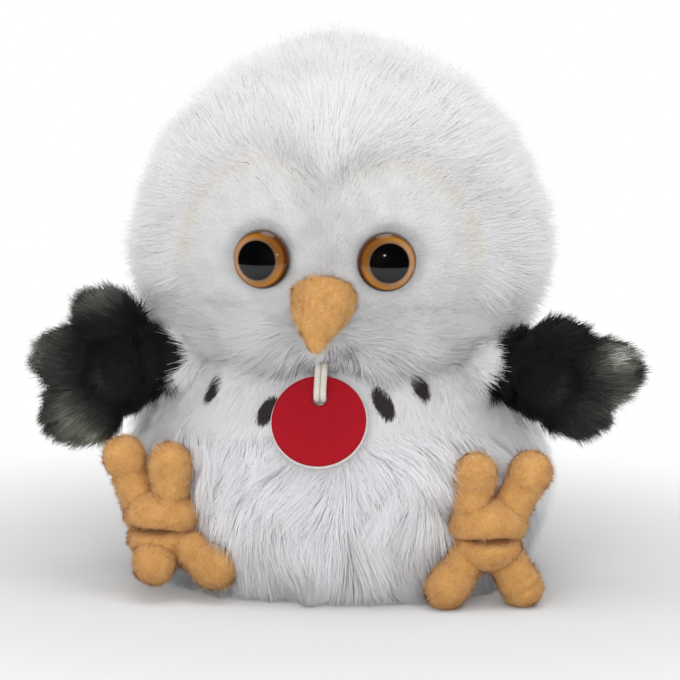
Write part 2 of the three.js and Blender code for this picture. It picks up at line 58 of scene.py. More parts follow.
# A node's output, with which sums are written as with numbers
class Wire:
    def __init__(self, tree, socket):
        self.tree = tree
        self.socket = socket

    def also(self, name):
        return Wire(self.tree, pick(self.socket.node.outputs, name))

    def isVector(self):
        return self.socket.type in ("VECTOR", "RGBA")

    def combine(self, operation, first, second):
        vector = any(isinstance(side, Wire) and side.isVector() for side in (first, second))
        vector = vector or isinstance(first, tuple) or isinstance(second, tuple)
        if not vector:
            return self.tree.add("ShaderNodeMath", {"operation": operation}, {0: first, 1: second})
        if operation == "MULTIPLY" and isScalar(second):
            sockets = {0: first, "Scale": second}
            return self.tree.add("ShaderNodeVectorMath", {"operation": "SCALE"}, sockets)
        return self.tree.add("ShaderNodeVectorMath", {"operation": operation}, {0: first, 1: second})

    def __add__(self, other):
        return self.combine("ADD", self, other)

    def __sub__(self, other):
        return self.combine("SUBTRACT", self, other)

    def __rsub__(self, other):
        return self.combine("SUBTRACT", other, self)

    def __mul__(self, other):
        return self.combine("MULTIPLY", self, other)

    def __rtruediv__(self, other):
        return self.combine("DIVIDE", other, self)

    def call(self, operation, *others):
        kind = "ShaderNodeVectorMath" if self.isVector() else "ShaderNodeMath"
        sockets = dict(enumerate((self, *others)))
        return self.tree.add(kind, {"operation": operation}, sockets)

    def unit(self):
        return self.call("NORMALIZE")

    def dot(self, other):
        return self.call("DOT_PRODUCT", other).also("Value")

    def length(self):
        return self.call("LENGTH").also("Value")

    def cross(self, other):
        return self.call("CROSS_PRODUCT", other)

    def step(self, low, high):
        settings = {"interpolation_type": "SMOOTHSTEP", "clamp": True}
        sockets = {"Value": self, "From Min": low, "From Max": high}
        return self.tree.add("ShaderNodeMapRange", settings, sockets)

    def parts(self):
        across = self.tree.add("ShaderNodeSeparateXYZ", {}, {"Vector": self})
        return across, across.also("Y"), across.also("Z")


def isScalar(value):
    return not isinstance(value, tuple) and not (isinstance(value, Wire) and value.isVector())


def pick(sockets, name):
    if isinstance(name, int):
        return sockets[name]
    return next(socket for socket in sockets if socket.name == name and socket.enabled)


# A node tree that is being written
class Tree:
    def __init__(self, nodeTree):
        self.nodes = nodeTree.nodes
        self.links = nodeTree.links
        self.nodes.clear()

    def add(self, kind, settings=None, sockets=None):
        node = self.nodes.new(kind)
        for name, value in (settings or {}).items():
            if name == "stops":
                setStops(node.color_ramp, value)
            else:
                setattr(node, name, value)
        for name, value in (sockets or {}).items():
            socket = pick(node.inputs, name)
            if isinstance(value, Wire):
                self.links.new(value.socket, socket)
            else:
                socket.default_value = value
        outputs = [socket for socket in node.outputs if socket.enabled]
        return Wire(self, outputs[0]) if outputs else None

    def place(self):
        return self.add("ShaderNodeTexCoord").also("Object")

    def ramp(self, value, stops):
        return self.add("ShaderNodeValToRGB", {"stops": stops}, {"Fac": value})

    def mix(self, factor, first, second, blend="MIX"):
        settings = {"data_type": "RGBA", "blend_type": blend}
        return self.add("ShaderNodeMix", settings, {"Factor": factor, "A": first, "B": second})

    def noise(self, place, scale, detail=3, roughness=0.5):
        sockets = {"Vector": place, "Scale": scale, "Detail": detail, "Roughness": roughness}
        return self.add("ShaderNodeTexNoise", {}, sockets)

    def vector(self, x, y, z=0.0):
        return self.add("ShaderNodeCombineXYZ", {}, {"X": x, "Y": y, "Z": z})


def setStops(ramp, stops):
    while len(ramp.elements) < len(stops):
        ramp.elements.new(1)
    for element, (position, colour) in zip(ramp.elements, stops):
        element.position = position
        element.color = (*colour, 1)


# A colour as a paint card shows it, from 0 to 255, as the light values the shaders use
def colour(red, green, blue):
    shares = [value / 255 for value in (red, green, blue)]
    return tuple(s / 12.92 if s <= 0.04045 else ((s + 0.055) / 1.055) ** 2.4 for s in shares)


def rgba(red, green, blue):
    return (*colour(red, green, blue), 1)


# Stops of a colour ramp, each with its position and a card's red, green and blue
def tones(*stops):
    return [(position, colour(*card)) for position, *card in stops]


def newMaterial(name):
    material = bpy.data.materials.new(name)
    material.use_nodes = True
    return material, Tree(material.node_tree)


thinColour = (0.93, 0.93, 0.94, 1)


# Ends a material in one shader. Bump is a height and how deep it goes, and through is the share of light
# that thin fibres let through.
def finish(tree, base, roughness, bump=None, fixed=None, through=None):
    sockets = {"Base Color": base, "Roughness": roughness, **(fixed or {})}
    if bump:
        height, depth = bump
        relief = {"Height": height, "Distance": depth, "Strength": 1}
        sockets["Normal"] = tree.add("ShaderNodeBump", {}, relief)
    shader = tree.add("ShaderNodeBsdfPrincipled", {}, sockets)
    if through is not None:
        thin = tree.add("ShaderNodeBsdfTranslucent", {}, {"Color": thinColour})
        shader = tree.add("ShaderNodeMixShader", {}, {0: through, 1: shader, 2: thin})
    tree.add("ShaderNodeOutputMaterial", {}, {"Surface": shader})


def readPlaces(mesh):
    places = np.zeros(len(mesh.vertices) * 3, np.float32)
    mesh.vertices.foreach_get("co", places)
    return places.reshape(-1, 3).astype(float)


def readNormals(mesh):
    normals = np.zeros(len(mesh.vertices) * 3, np.float32)
    mesh.vertex_normals.foreach_get("vector", normals)
    return normals.reshape(-1, 3).astype(float)


def writePlaces(mesh, places):
    mesh.vertices.foreach_set("co", places.astype(np.float32).ravel())
    mesh.update()


def linked(name, data):
    thing = bpy.data.objects.new(name, data)
    bpy.context.scene.collection.objects.link(thing)
    return thing


def newObject(name, mesh, material=None):
    thing = linked(name, mesh)
    if material:
        mesh.materials.clear()
        mesh.materials.append(material)
    for polygon in mesh.polygons:
        polygon.use_smooth = True
    return thing


# Says which body a piece rides on, and hides the frame parts that it stands for
def declare(piece, body, nodes):
    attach(piece, body)
    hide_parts(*nodes)


# The object's mesh with its modifiers in it, in place of the object
def baked(thing):
    graph = bpy.context.evaluated_depsgraph_get()
    mesh = bpy.data.meshes.new_from_object(thing.evaluated_get(graph))
    bpy.data.objects.remove(thing)
    return mesh


def meshFrom(maker, name):
    mesh = bpy.data.meshes.new(name)
    maker.to_mesh(mesh)
    maker.free()
    return mesh


# Faces between closed rings that follow each other, with as many points in each
def bridge(maker, rings):
    count = len(rings[0])
    for low, high in zip(rings, rings[1:]):
        for k in range(count):
            after = (k + 1) % count
            maker.faces.new((low[k], low[after], high[after], high[k]))


# An evenly meshed skin round everything in a mesh, softened
def evened(mesh, voxel, rounds, split=False):
    rough = linked(mesh.name + "_rough", mesh)
    remesh = rough.modifiers.new("even", "REMESH")
    remesh.mode = "VOXEL"
    remesh.voxel_size = voxel
    rough.modifiers.new("soft", "SMOOTH").iterations = rounds
    if split:
        rough.modifiers.new("split", "TRIANGULATE")
    return baked(rough)


def smooth(low, high, value):
    share = np.clip((value - low) / (high - low), 0, 1)
    return share * share * (3 - 2 * share)


def unit(vectors):
    return vectors / np.maximum(np.linalg.norm(vectors, axis=1, keepdims=True), 1e-9)


def alongSurface(vectors, normals):
    return vectors - normals * np.sum(vectors * normals, axis=1, keepdims=True)


# A smooth uneven value from -1 to 1 at each point, in patches of about one size
def patches(places, size, seed):
    dice = np.random.default_rng(seed)
    total = np.zeros(len(places))
    for wave in range(9):
        direction = unit(dice.normal(size=(1, 3)))[0]
        pace = 2 * math.pi / size * dice.uniform(0.7, 1.4)
        total += np.sin(places @ direction * pace + dice.uniform(0, 2 * math.pi))
    return np.clip(total / 3, -1, 1)


# How far points lie inside a closed outline, with both in the same two numbers
def depthInside(points, outline):
    nearest = np.full(len(points), np.inf)
    inside = np.zeros(len(points), bool)
    for start, end in zip(outline, np.roll(outline, -1, axis=0)):
        edge = end - start
        share = np.clip(((points - start) @ edge) / (edge @ edge), 0, 1)
        nearest = np.minimum(nearest, np.linalg.norm(points - start - share[:, None] * edge, axis=1))
        crosses = (start[1] > points[:, 1]) != (end[1] > points[:, 1])
        rise = np.where(edge[1] == 0, 1e-12, edge[1])
        inside ^= crosses & (points[:, 0] < (points[:, 1] - start[1]) * edge[0] / rise + start[0])
    return np.where(inside, nearest, -nearest)


# A round stuffed form: one half ellipse above its widest height and another below, cut flat at two heights
def roundMesh(name, form, grow, level, span):
    maker = bmesh.new()
    bmesh.ops.create_icosphere(maker, subdivisions=level, radius=1)
    mesh = meshFrom(maker, name)
    ball = readPlaces(mesh)
    reach = np.where(ball[:, 2] < 0, form["below"], form["above"]) + grow
    places = np.stack(
        [
            ball[:, 0] * (form["halfWidth"] + grow),
            ball[:, 1] * (form["halfDepth"] + grow) + axisY,
            np.clip(form["widest"] + ball[:, 2] * reach, *span),
        ],
        axis=1,
    )
    # A skin that lies under pile keeps the form's own girth at the neck
    full = np.where(places[:, 2] < form["widest"], form["below"], form["above"])
    height = places[:, 2] - form["widest"]
    girth = form["halfWidth"] * np.sqrt(np.clip(1 - (height / full) ** 2, 0, 1))
    inset = (form["halfWidth"] + grow) * np.sqrt(np.clip(1 - (height / (full + grow)) ** 2, 0, 1))
    taper = 1 - smooth(0, neckFade, np.abs(places[:, 2] - neck))
    wider = 1 + taper * ((girth - neckInset) / np.maximum(inset, 1 * mm) - 1)
    places[:, 0] = places[:, 0] * wider
    places[:, 1] = (places[:, 1] - axisY) * wider + axisY
    writePlaces(mesh, places)
    return mesh


# Writes what the pile needs to know at each point of a skin
def writeGrain(mesh, comb, reach, thick, tone):
    for name, kind, values in (
        ("comb", "FLOAT_VECTOR", comb),
        ("reach", "FLOAT", reach),
        ("thick", "FLOAT", thick),
        ("tone", "FLOAT", tone),
    ):
        attribute = mesh.attributes.new(name, kind, "POINT")
        field = "vector" if kind == "FLOAT_VECTOR" else "value"
        attribute.data.foreach_set(field, np.asarray(values, np.float32).ravel())


# What every pile starts from. Each fur below says only what it has otherwise.
plainFur = {
    "strands": 30000,
    "steps": 2,  # straight pieces in a strand
    "length": 18 * mm,
    "width": 0.26 * mm,
    "stand": 0.8,  # how upright a strand leaves the skin, against its comb
    "settle": 0.4,  # the share of that which is left at its tip
    "ruffle": 0.2,  # how far single strands stray
    "tuftSize": 6 * mm,
    "tuftPull": 0.2,  # how far the tips gather to the middle of their tuft
    "tuftRuffle": 0.12,  # how far whole tufts stray
    "uneven": 0.4,  # the share by which lengths differ
    "droop": 0.1,  # how far the tips sink
    "twist": 0.4,  # how far strands turn their flat side
    "lift": 0.3,  # how far a strand's light comes from above
    "seed": 1,
}
pileLowest = 0.0004  # no strand comes nearer to the table
# What the tree writes on its points for its own use
pileScratch = (
    *("root", "rise", "fall", "across", "outward", "band"),
    *("side", "along", "comb", "reach", "thick", "tone"),
)


def buildPileTree():
    group = bpy.data.node_groups.new("pile", "GeometryNodeTree")
    group.interface.new_socket("Geometry", in_out="OUTPUT", socket_type="NodeSocketGeometry")
    group.interface.new_socket("Geometry", in_out="INPUT", socket_type="NodeSocketGeometry")
    for name, value in {"density": 1e6, "lowest": pileLowest, **plainFur}.items():
        kind = "NodeSocketInt" if isinstance(value, int) else "NodeSocketFloat"
        socket = group.interface.new_socket(name, in_out="INPUT", socket_type=kind)
        socket.default_value = value
    group.interface.new_socket("material", in_out="INPUT", socket_type="NodeSocketMaterial")
    tree = Tree(group)
    given = tree.add("NodeGroupInput").also

    def named(name, kind="FLOAT"):
        return tree.add("GeometryNodeInputNamedAttribute", {"data_type": kind}, {"Name": name})

    def store(geometry, name, value, kind="FLOAT_VECTOR", domain="POINT"):
        settings = {"data_type": kind, "domain": domain}
        sockets = {"Geometry": geometry, "Name": name, "Value": value}
        return tree.add("GeometryNodeStoreNamedAttribute", settings, sockets)

    def luck(kind, seed):
        sockets = {"Seed": given("seed") + float(seed)}
        if kind == "FLOAT_VECTOR":
            sockets["Min"] = (-1, -1, -1)
            sockets["Max"] = (1, 1, 1)
        return tree.add("FunctionNodeRandomValue", {"data_type": kind}, sockets)

    # Roots on the skin
    sockets = {
        "Mesh": given("Geometry"),
        "Density": given("density") * named("thick"),
        "Seed": given("seed"),
    }
    roots = tree.add("GeometryNodeDistributePointsOnFaces", {"distribute_method": "RANDOM"}, sockets)
    normal = roots.also("Normal")
    place = tree.add("GeometryNodeInputPosition")
    comb = named("comb", "FLOAT_VECTOR")

    # Tufts: strands near each other lean together
    sockets = {"Vector": place, "Scale": 1.0 / given("tuftSize")}
    tuft = tree.add("ShaderNodeTexVoronoi", {"voronoi_dimensions": "3D", "feature": "F1"}, sockets)
    toTuft = tuft.also("Position") - place
    toTuft = toTuft - normal * toTuft.dot(normal)
    tuftLuck = tuft.also("Color") * 2.0 - (1.0, 1.0, 1.0)

    # Where a strand points at its root and at its tip
    stray = luck("FLOAT_VECTOR", 1) * given("ruffle") + tuftLuck * given("tuftRuffle")
    upright = normal * given("stand")
    start = (upright + comb + stray).unit()
    sag = tree.vector(0.0, 0.0, given("droop") * -1.0)
    end = (upright * given("settle") + comb * 1.3 + stray + sag).unit()
    size = given("length") * named("reach") * (1.0 - luck("FLOAT", 2) * given("uneven"))
    rise = start * size
    fall = (end - start) * (size * 0.5) + toTuft * given("tuftPull")
    facing = normal + luck("FLOAT_VECTOR", 3) * given("twist")
    across = (start + end).cross(facing).unit() * (given("width") * 0.5)
    points = store(roots, "root", place)
    points = store(points, "rise", rise)
    points = store(points, "fall", fall)
    points = store(points, "across", across)
    lift = tree.vector(0.0, 0.0, given("lift"))
    points = store(points, "outward", (normal + start * 0.2 + lift).unit())
    points = store(points, "band", named("tone") + (luck("FLOAT", 4) - 0.5) * 0.22, "FLOAT")

    # One strand: a narrow grid whose side and place along it are stored before it is copied
    sockets = {"Size X": 1.0, "Size Y": 1.0, "Vertices X": 2, "Vertices Y": given("steps") + 1.0}
    strip = tree.add("GeometryNodeMeshGrid", {}, sockets)
    x, y = place.parts()[:2]
    strip = store(strip, "side", x * 2.0, "FLOAT")
    strip = store(strip, "along", y + 0.5, "FLOAT")
    copies = tree.add("GeometryNodeInstanceOnPoints", {}, {"Points": points, "Instance": strip})
    pile = tree.add("GeometryNodeRealizeInstances", {}, {"Geometry": copies})

    # Bend each copy along its own path
    along = named("along")
    side = named("side")
    path = named("root", "FLOAT_VECTOR") + named("rise", "FLOAT_VECTOR") * along
    path = path + named("fall", "FLOAT_VECTOR") * (along * along)
    taper = 1.0 - along * along * 0.85
    path = path + named("across", "FLOAT_VECTOR") * (side * taper)
    x, y, z = path.parts()
    sockets = {0: z, 1: given("lowest") + named("band") * 0.001}
    lifted = tree.add("ShaderNodeMath", {"operation": "MAXIMUM"}, sockets)
    sockets = {"Geometry": pile, "Position": tree.vector(x, y, lifted)}
    pile = tree.add("GeometryNodeSetPosition", {}, sockets)
    mapped = tree.vector(named("band").call("MAXIMUM", 0.01).call("MINIMUM", 0.99) + side * 0.002, along)
    pile = store(pile, "pileMap", mapped, "FLOAT2", "CORNER")
    pile = store(pile, "OFBake", mapped, "FLOAT2", "CORNER")
    pile = tree.add("GeometryNodeSetShadeSmooth", {}, {"Geometry": pile})
    # Light falls on a strand as on the skin under it, which makes the pile look soft
    settings = {"mode": "FREE", "domain": "POINT"}
    sockets = {"Mesh": pile, "Custom Normal": named("outward", "FLOAT_VECTOR")}
    pile = tree.add("GeometryNodeSetMeshNormal", settings, sockets)
    pile = tree.add("GeometryNodeSetMaterial", {}, {"Geometry": pile, "Material": given("material")})
    tree.add("NodeGroupOutput", {}, {"Geometry": pile})
    return group


pileTree = buildPileTree()


# Grows a fur on a skin, as a plain mesh. Comb, reach, thickness and tone are given for each of its points.
def growPile(name, skin, comb, reach, thick, tone, fur, material, body="owl"):
    skin = skin.copy()
    thick = np.asarray(thick, np.float32)
    writeGrain(skin, comb, reach, thick, np.full(len(thick), tone))
    carrier = linked(name + "_skin", skin)
    modifier = carrier.modifiers.new("pile", "NODES")
    modifier.node_group = pileTree
    corners = np.array([loop.vertex_index for loop in skin.loops]).reshape(-1, 3)
    sizes = np.array([polygon.area for polygon in skin.polygons])
    covered = float(np.sum(sizes * thick[corners].mean(axis=1)))
    settings = {**fur, "density": fur["strands"] / covered, "lowest": pileLowest, "material": material}
    for item in pileTree.interface.items_tree:
        if item.in_out == "INPUT" and item.name in settings:
            modifier[item.identifier] = settings[item.name]
    mesh = baked(carrier)
    for scratch in pileScratch:
        if scratch in mesh.attributes:
            mesh.attributes.remove(mesh.attributes[scratch])
    mesh.name = name
    grown = newObject(name, mesh)
    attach(grown, body)
    print(name, len(mesh.polygons) * 2, "triangles", flush=True)


# Pile colour: across the map a strand's tone, up the map from root to tip. Thin is the share of light
# that goes through the pale strands.
def pileMaterial(name, stops, rootShade, tipTint, roughness, sheen, thin=0.0):
    material, tree = newMaterial(name)
    uv = tree.add("ShaderNodeUVMap", {"uv_map": "pileMap"})
    tone, along = uv.parts()[:2]
    base = tree.ramp(tone, stops)
    # Each strand is painted darker towards its root, down to the root shade at the skin: painted shade
    # between the strands
    shade = tree.ramp(along, [(0.0, rootShade), (0.55, (1, 1, 1)), (1.0, tipTint)])
    base = tree.mix(1.0, base, shade, "MULTIPLY")
    gloss = tree.ramp(along, [(0.0, (roughness + 0.1,) * 3), (1.0, (roughness - 0.08,) * 3)])
    fixed = {"Sheen Weight": sheen, "Sheen Roughness": 0.4, "Specular IOR Level": 0.2}
    through = (1.0 - tone.step(0.84, 0.9)) * thin if thin else None
    finish(tree, base, gloss, fixed=fixed, through=through)
    return material


whiteTones = tones(
    (0.0, 238, 237, 241),
    (0.3, 247, 247, 249),
    (0.7, 252, 252, 252),
    (0.84, 253, 252, 249),
    (0.9, 84, 77, 76),
    (1.0, 58, 52, 52),
)
whitePile = pileMaterial(
    "white_pile", whiteTones, colour(242, 241, 242), colour(254, 254, 254), 0.8, 0.15, thin=0.3
)
facePile = pileMaterial(
    "face_pile",
    tones((0.0, 196, 195, 196), (0.3, 222, 222, 222), (0.6, 240, 241, 240), (1.0, 240, 234, 223)),
    colour(238, 237, 238),
    colour(254, 254, 254),
    0.85,
    0.15,
)
blackPile = pileMaterial(
    "black_pile",
    tones(
        (0.0, 14, 14, 15),
        (0.35, 27, 27, 30),
        (0.6, 64, 68, 62),
        (0.8, 98, 102, 90),
        (0.94, 150, 148, 140),
        (0.98, 228, 228, 230),
    ),
    colour(150, 150, 152),
    colour(255, 255, 250),
    0.6,
    0.05,
)
goldPile = pileMaterial(
    "gold_pile",
    tones((0.0, 184, 128, 60), (0.5, 226, 175, 106), (1.0, 246, 210, 150)),
    colour(222, 208, 190),
    colour(255, 253, 248),
    0.9,
    0.1,
)


# Fabric that the pile grows from
def skinMaterial(name, light, dark):
    material, tree = newMaterial(name)
    place = tree.place()
    cloud = tree.noise(place, 90, 4)
    grain = tree.noise(place, 1400, 2)
    base = tree.mix(cloud, dark, light)
    finish(tree, base, 0.95, (grain, 0.0004))
    return material


whiteSkin = skinMaterial("white_skin", rgba(246, 245, 247), rgba(232, 231, 234))
blackSkin = skinMaterial("black_skin", rgba(20, 21, 22), rgba(9, 10, 10))


# Brushed fleece felt of the feet and beak
def feltMaterial(name, light, middle, dark):
    material, tree = newMaterial(name)
    place = tree.place()
    cloud = tree.noise(place, 130, 5, 0.6)
    curl = tree.noise(place, 700, 4, 0.7)
    fibre = tree.noise(place, 2600, 2)
    base = tree.ramp(cloud * 0.6 + curl * 0.4, [(0.3, dark), (0.5, middle), (0.7, light)])
    finish(tree, base, 0.95, (curl + fibre * 0.35, 0.0009), {"Sheen Weight": 0.3, "Sheen Roughness": 0.5})
    return material


goldFelt = feltMaterial("gold_felt", colour(232, 181, 112), colour(216, 161, 92), colour(190, 135, 70))


# The lens map runs outwards from the beak and upwards, with the pupil in its middle
def amberMaterial():
    material, tree = newMaterial("amber_lens")
    uv = tree.add("ShaderNodeUVMap", {"uv_map": "lensMap"})
    flat = uv - (0.5, 0.5, 0.0)
    radius = flat.length() * 2.0
    outward, up = flat.parts()[:2]
    fleck = tree.noise(tree.vector(outward * 60.0, up * 60.0, radius * 2.0), 1.0, 4, 0.6)
    iris = tree.ramp(
        radius + (fleck - 0.5) * 0.06,
        tones(
            (0.64, 58, 40, 32),
            (0.7, 128, 96, 66),
            (0.77, 150, 102, 36),
            (0.86, 170, 110, 14),
            (0.91, 108, 62, 14),
            (0.95, 36, 22, 14),
        ),
    )
    ring = radius.step(0.66, 0.73) * (1.0 - radius.step(0.8, 0.9))
    # Painted highlight: a pale crescent on the ring's outer side
    pale = (outward - up * 0.1).step(-0.06, 0.4) * ring
    iris = tree.mix(pale * 0.75, iris, rgba(178, 138, 110))
    # Painted shade: darker brown on the side towards the beak and up
    inner = (outward * -1.0 + up * 0.6).step(0.16, 0.5)
    iris = tree.mix(inner * 0.65, iris, rgba(84, 44, 24))
    # Painted shade along the top of the iris, where the brow shades it
    shaded = up.step(0.2, 0.5) * radius.step(0.74, 0.92)
    iris = tree.mix(shaded * 0.6, iris, rgba(60, 36, 16))
    pupil = radius.step(0.645, 0.665)
    base = tree.mix(pupil, rgba(5, 5, 6), iris)
    fixed = {"Coat Weight": 0.7, "Coat Roughness": 0.03, "Specular IOR Level": 0.12, "IOR": 1.49}
    finish(tree, base, pupil * 0.1 + 0.12, fixed=fixed)
    return material


amberLens = amberMaterial()


# Moulded plastic with faint flow marks
def plasticMaterial(name, light, dark, roughness):
    material, tree = newMaterial(name)
    place = tree.place()
    flow = tree.noise(place, 260, 3)
    fine = tree.noise(place, 3000, 2)
    base = tree.mix(flow, dark, light)
    finish(tree, base, flow * 0.1 + roughness, (fine, 0.00004))
    return material


blackPlastic = plasticMaterial("black_plastic", rgba(12, 11, 11), rgba(6, 6, 6), 0.16)
washerPlastic = plasticMaterial("washer_plastic", rgba(236, 236, 230), rgba(222, 222, 214), 0.42)


# Crossed threads: a plain weave in two directions of a disc's own map
def weaveMaterial(name, threads, light, dark, roughness):
    material, tree = newMaterial(name)
    uv = tree.add("ShaderNodeUVMap", {"uv_map": "discMap"})
    fuzz = tree.noise(uv, threads * 0.9, 4, 0.7)
    x, y = uv.parts()[:2]
    warp = (x * (math.pi * threads) + fuzz * 1.4).call("SINE")
    weft = (y * (math.pi * threads) + fuzz * 1.4).call("SINE")
    height = (warp * weft) * 0.5 + 0.5
    hairs = tree.noise(uv, threads * 5, 3, 0.7)
    cloud = tree.noise(uv, 7, 3)
    # The tone is partly painted shade, darker where the weave lies low, and partly the threads' own hairs
    # and cloud
    tone = height * 0.4 + hairs * 0.4 + cloud * 0.2
    base = tree.mix(tone, dark, light)
    finish(tree, base, roughness, (height * 0.6 + hairs, 0.0002), {"Specular IOR Level": 0.15})
    return material


redFelt = weaveMaterial("red_felt", 58, rgba(182, 26, 40), rgba(144, 11, 25), 0.95)
whiteFelt = weaveMaterial("white_felt", 70, rgba(244, 236, 234), rgba(222, 210, 208), 0.9)


def cordMaterial():
    material, tree = newMaterial("cord")
    place = tree.place()
    fuzz = tree.noise(place, 2600, 4, 0.7)
    cloud = tree.noise(place, 300, 2)
    base = tree.mix(fuzz * 0.6 + cloud * 0.4, rgba(196, 190, 178), rgba(236, 232, 224))
    finish(tree, base, 0.9, (fuzz, 0.0002), {"Sheen Weight": 0.2})
    return material


cordFinish = cordMaterial()


def fibreMaterial(name, light, dark, scale):
    material, tree = newMaterial(name)
    place = tree.place()
    cloud = tree.noise(place, scale, 5, 0.65)
    fine = tree.noise(place, scale * 8, 3, 0.7)
    base = tree.mix(cloud, dark, light)
    finish(tree, base, 0.95, (cloud + fine * 0.3, 0.0012))
    return material


fibreFill = fibreMaterial("fibre", rgba(246, 246, 243), rgba(222, 222, 218), 120)
calico = fibreMaterial("calico", rgba(222, 212, 190), rgba(204, 192, 166), 600)

print("materials made", flush=True)


# The two round forms, each with its widest height and its reach above and below that
head = {
    "halfWidth": 86 * mm,
    "halfDepth": 82 * mm,
    "widest": 134 * mm,
    "above": 86 * mm,
    "below": 54 * mm,
}
body = {
    "halfWidth": 87 * mm,
    "halfDepth": 80 * mm,
    "widest": 40 * mm,
    "above": 74 * mm,
    "below": 67 * mm,
}
headSkin = -7.5 * mm  # how far the skins lie under the pile's outline
bodySkin = -5.5 * mm
neck = 94 * mm
neckFade = 26 * mm  # how far from the neck the skins keep the form's own girth
neckInset = 1 * mm
# Between which heights each skin and each filling reaches, cut flat there. The head's top isn't cut.
headSpan = (neck + 0.3 * mm, 1)
bodySpan = (5.4 * mm, neck - 0.3 * mm)
headFill = (neck + 0.6 * mm, 1)
bodyFill = (6.4 * mm, neck - 0.6 * mm)

# One side of the face's outline from the dip between the brows round to under the beak, across and up
faceOutline = [
    (0, 160),
    (5, 163.5),
    (11, 170),
    (19, 174),
    (28, 174.5),
    (38, 171),
    (47, 164),
    (54, 153),
    (57.5, 141),
    (57, 129),
    (53, 119),
    (46, 112),
    (36, 113),
    (24, 116),
    (12, 119),
    (0, 120),
]
eyes = {
    "across": 24 * mm,
    "height": 137.5 * mm,
    "radius": 11.7 * mm,
    "dome": 7.8 * mm,
    "rim": 1.4 * mm,
    "splay": 16,  # degrees that each eye looks outwards
    "faceWidth": 82 * mm,  # the face's curve where the eyes sit on it
    "faceDepth": 78 * mm,
    "sunk": 0.6 * mm,
    "bare": (10.2 * mm, 11 * mm),  # nothing grows nearer than this to an eye's middle
}
beakPlace = {"height": 121 * mm, "halfWidth": 9 * mm, "halfHeight": 10 * mm}


def mirrored(outline):
    right = np.array(outline, float) * mm
    left = right[-2:0:-1] * (-1, 1)
    return np.concatenate([right, left])


# Everything about the head's skin at each of its points
def headGrain(mesh):
    places = readPlaces(mesh)
    normals = readNormals(mesh)
    x, y, z = places.T
    flat = places[:, (0, 2)]
    front = y < axisY
    inFace = np.where(front, depthInside(flat, mirrored(faceOutline)), -1)
    face = smooth(-1.5 * mm, 3 * mm, inFace)
    belowFace = smooth(128 * mm, 122 * mm, z) * smooth(70 * mm, 60 * mm, np.abs(x)) * front
    cheek = belowFace * (1 - smooth(0, 5 * mm, inFace))
    face = np.where(belowFace > 0.5, smooth(-1 * mm, 1 * mm, inFace), face)
    pile = (1 - face) * (1 - belowFace)
    # Nothing grows under the eyes and the beak
    bare = 1 - smooth(neck + 0.35 * mm, neck + 0.9 * mm, z)
    for sign in (-1, 1):
        apart = np.hypot(x - sign * eyes["across"], z - eyes["height"])
        bare = np.maximum(bare, np.where(front, 1 - smooth(*eyes["bare"], apart), 0))
    beakShare = np.hypot(x / beakPlace["halfWidth"], (z - beakPlace["height"]) / beakPlace["halfHeight"])
    bare = np.maximum(bare, np.where(front, 1 - smooth(0.85, 1.0, beakShare), 0))
    return {
        "places": places,
        "normals": normals,
        "face": face * (1 - bare),
        "cheek": cheek * (1 - bare),
        "pile": pile * (1 - bare),
        "inFace": inFace,
    }


headFur = {
    **plainFur,
    "strands": 43500, "settle": 0.6, "tuftPull": 0.1, "tuftRuffle": 0.1, "droop": 0.12, "lift": 0.4,
    "seed": 11,
}
faceFur = {
    **plainFur,
    "strands": 46000, "steps": 1, "length": 4.6 * mm, "width": 0.24 * mm, "stand": 0.55,
    "settle": 0.5, "ruffle": 0.3, "tuftSize": 5 * mm, "tuftPull": 0.05, "tuftRuffle": 0.08,
    "uneven": 0.3, "lift": 0.1, "seed": 21,
}
cheekFur = {
    **plainFur,
    "strands": 40500, "length": 17 * mm, "width": 0.25 * mm, "stand": 0.7, "ruffle": 0.17,
    "tuftSize": 7 * mm, "droop": 0.15, "lift": 0.6, "seed": 31,
}


# The piles fan out from points before the head's axis, each at its own height
fanPoint = {"forward": 78 * mm, "head": 140 * mm, "face": 128 * mm, "cheek": 108 * mm}
# How strongly the head's pile is combed away from the face, and where it is shorter
headComb = {
    "away": 1.15,
    "lessLow": 0.4,
    "lessOnCrown": 0.6,
    "lessAtBrow": 0.6,
    "swirl": 0.3,
    "longer": 1.08,
    "shorterByFace": 0.62,
    "shorterOnCrown": 0.1,
}
# The face's tone, how far it varies, how much darker it is painted as shade down the middle between the
# brows and round the eyes, and how much more beige it gets at its edge
faceTone = {"plain": 0.55, "mottle": 0.08, "bridge": 0.22, "edge": 0.35, "eyes": 0.5}


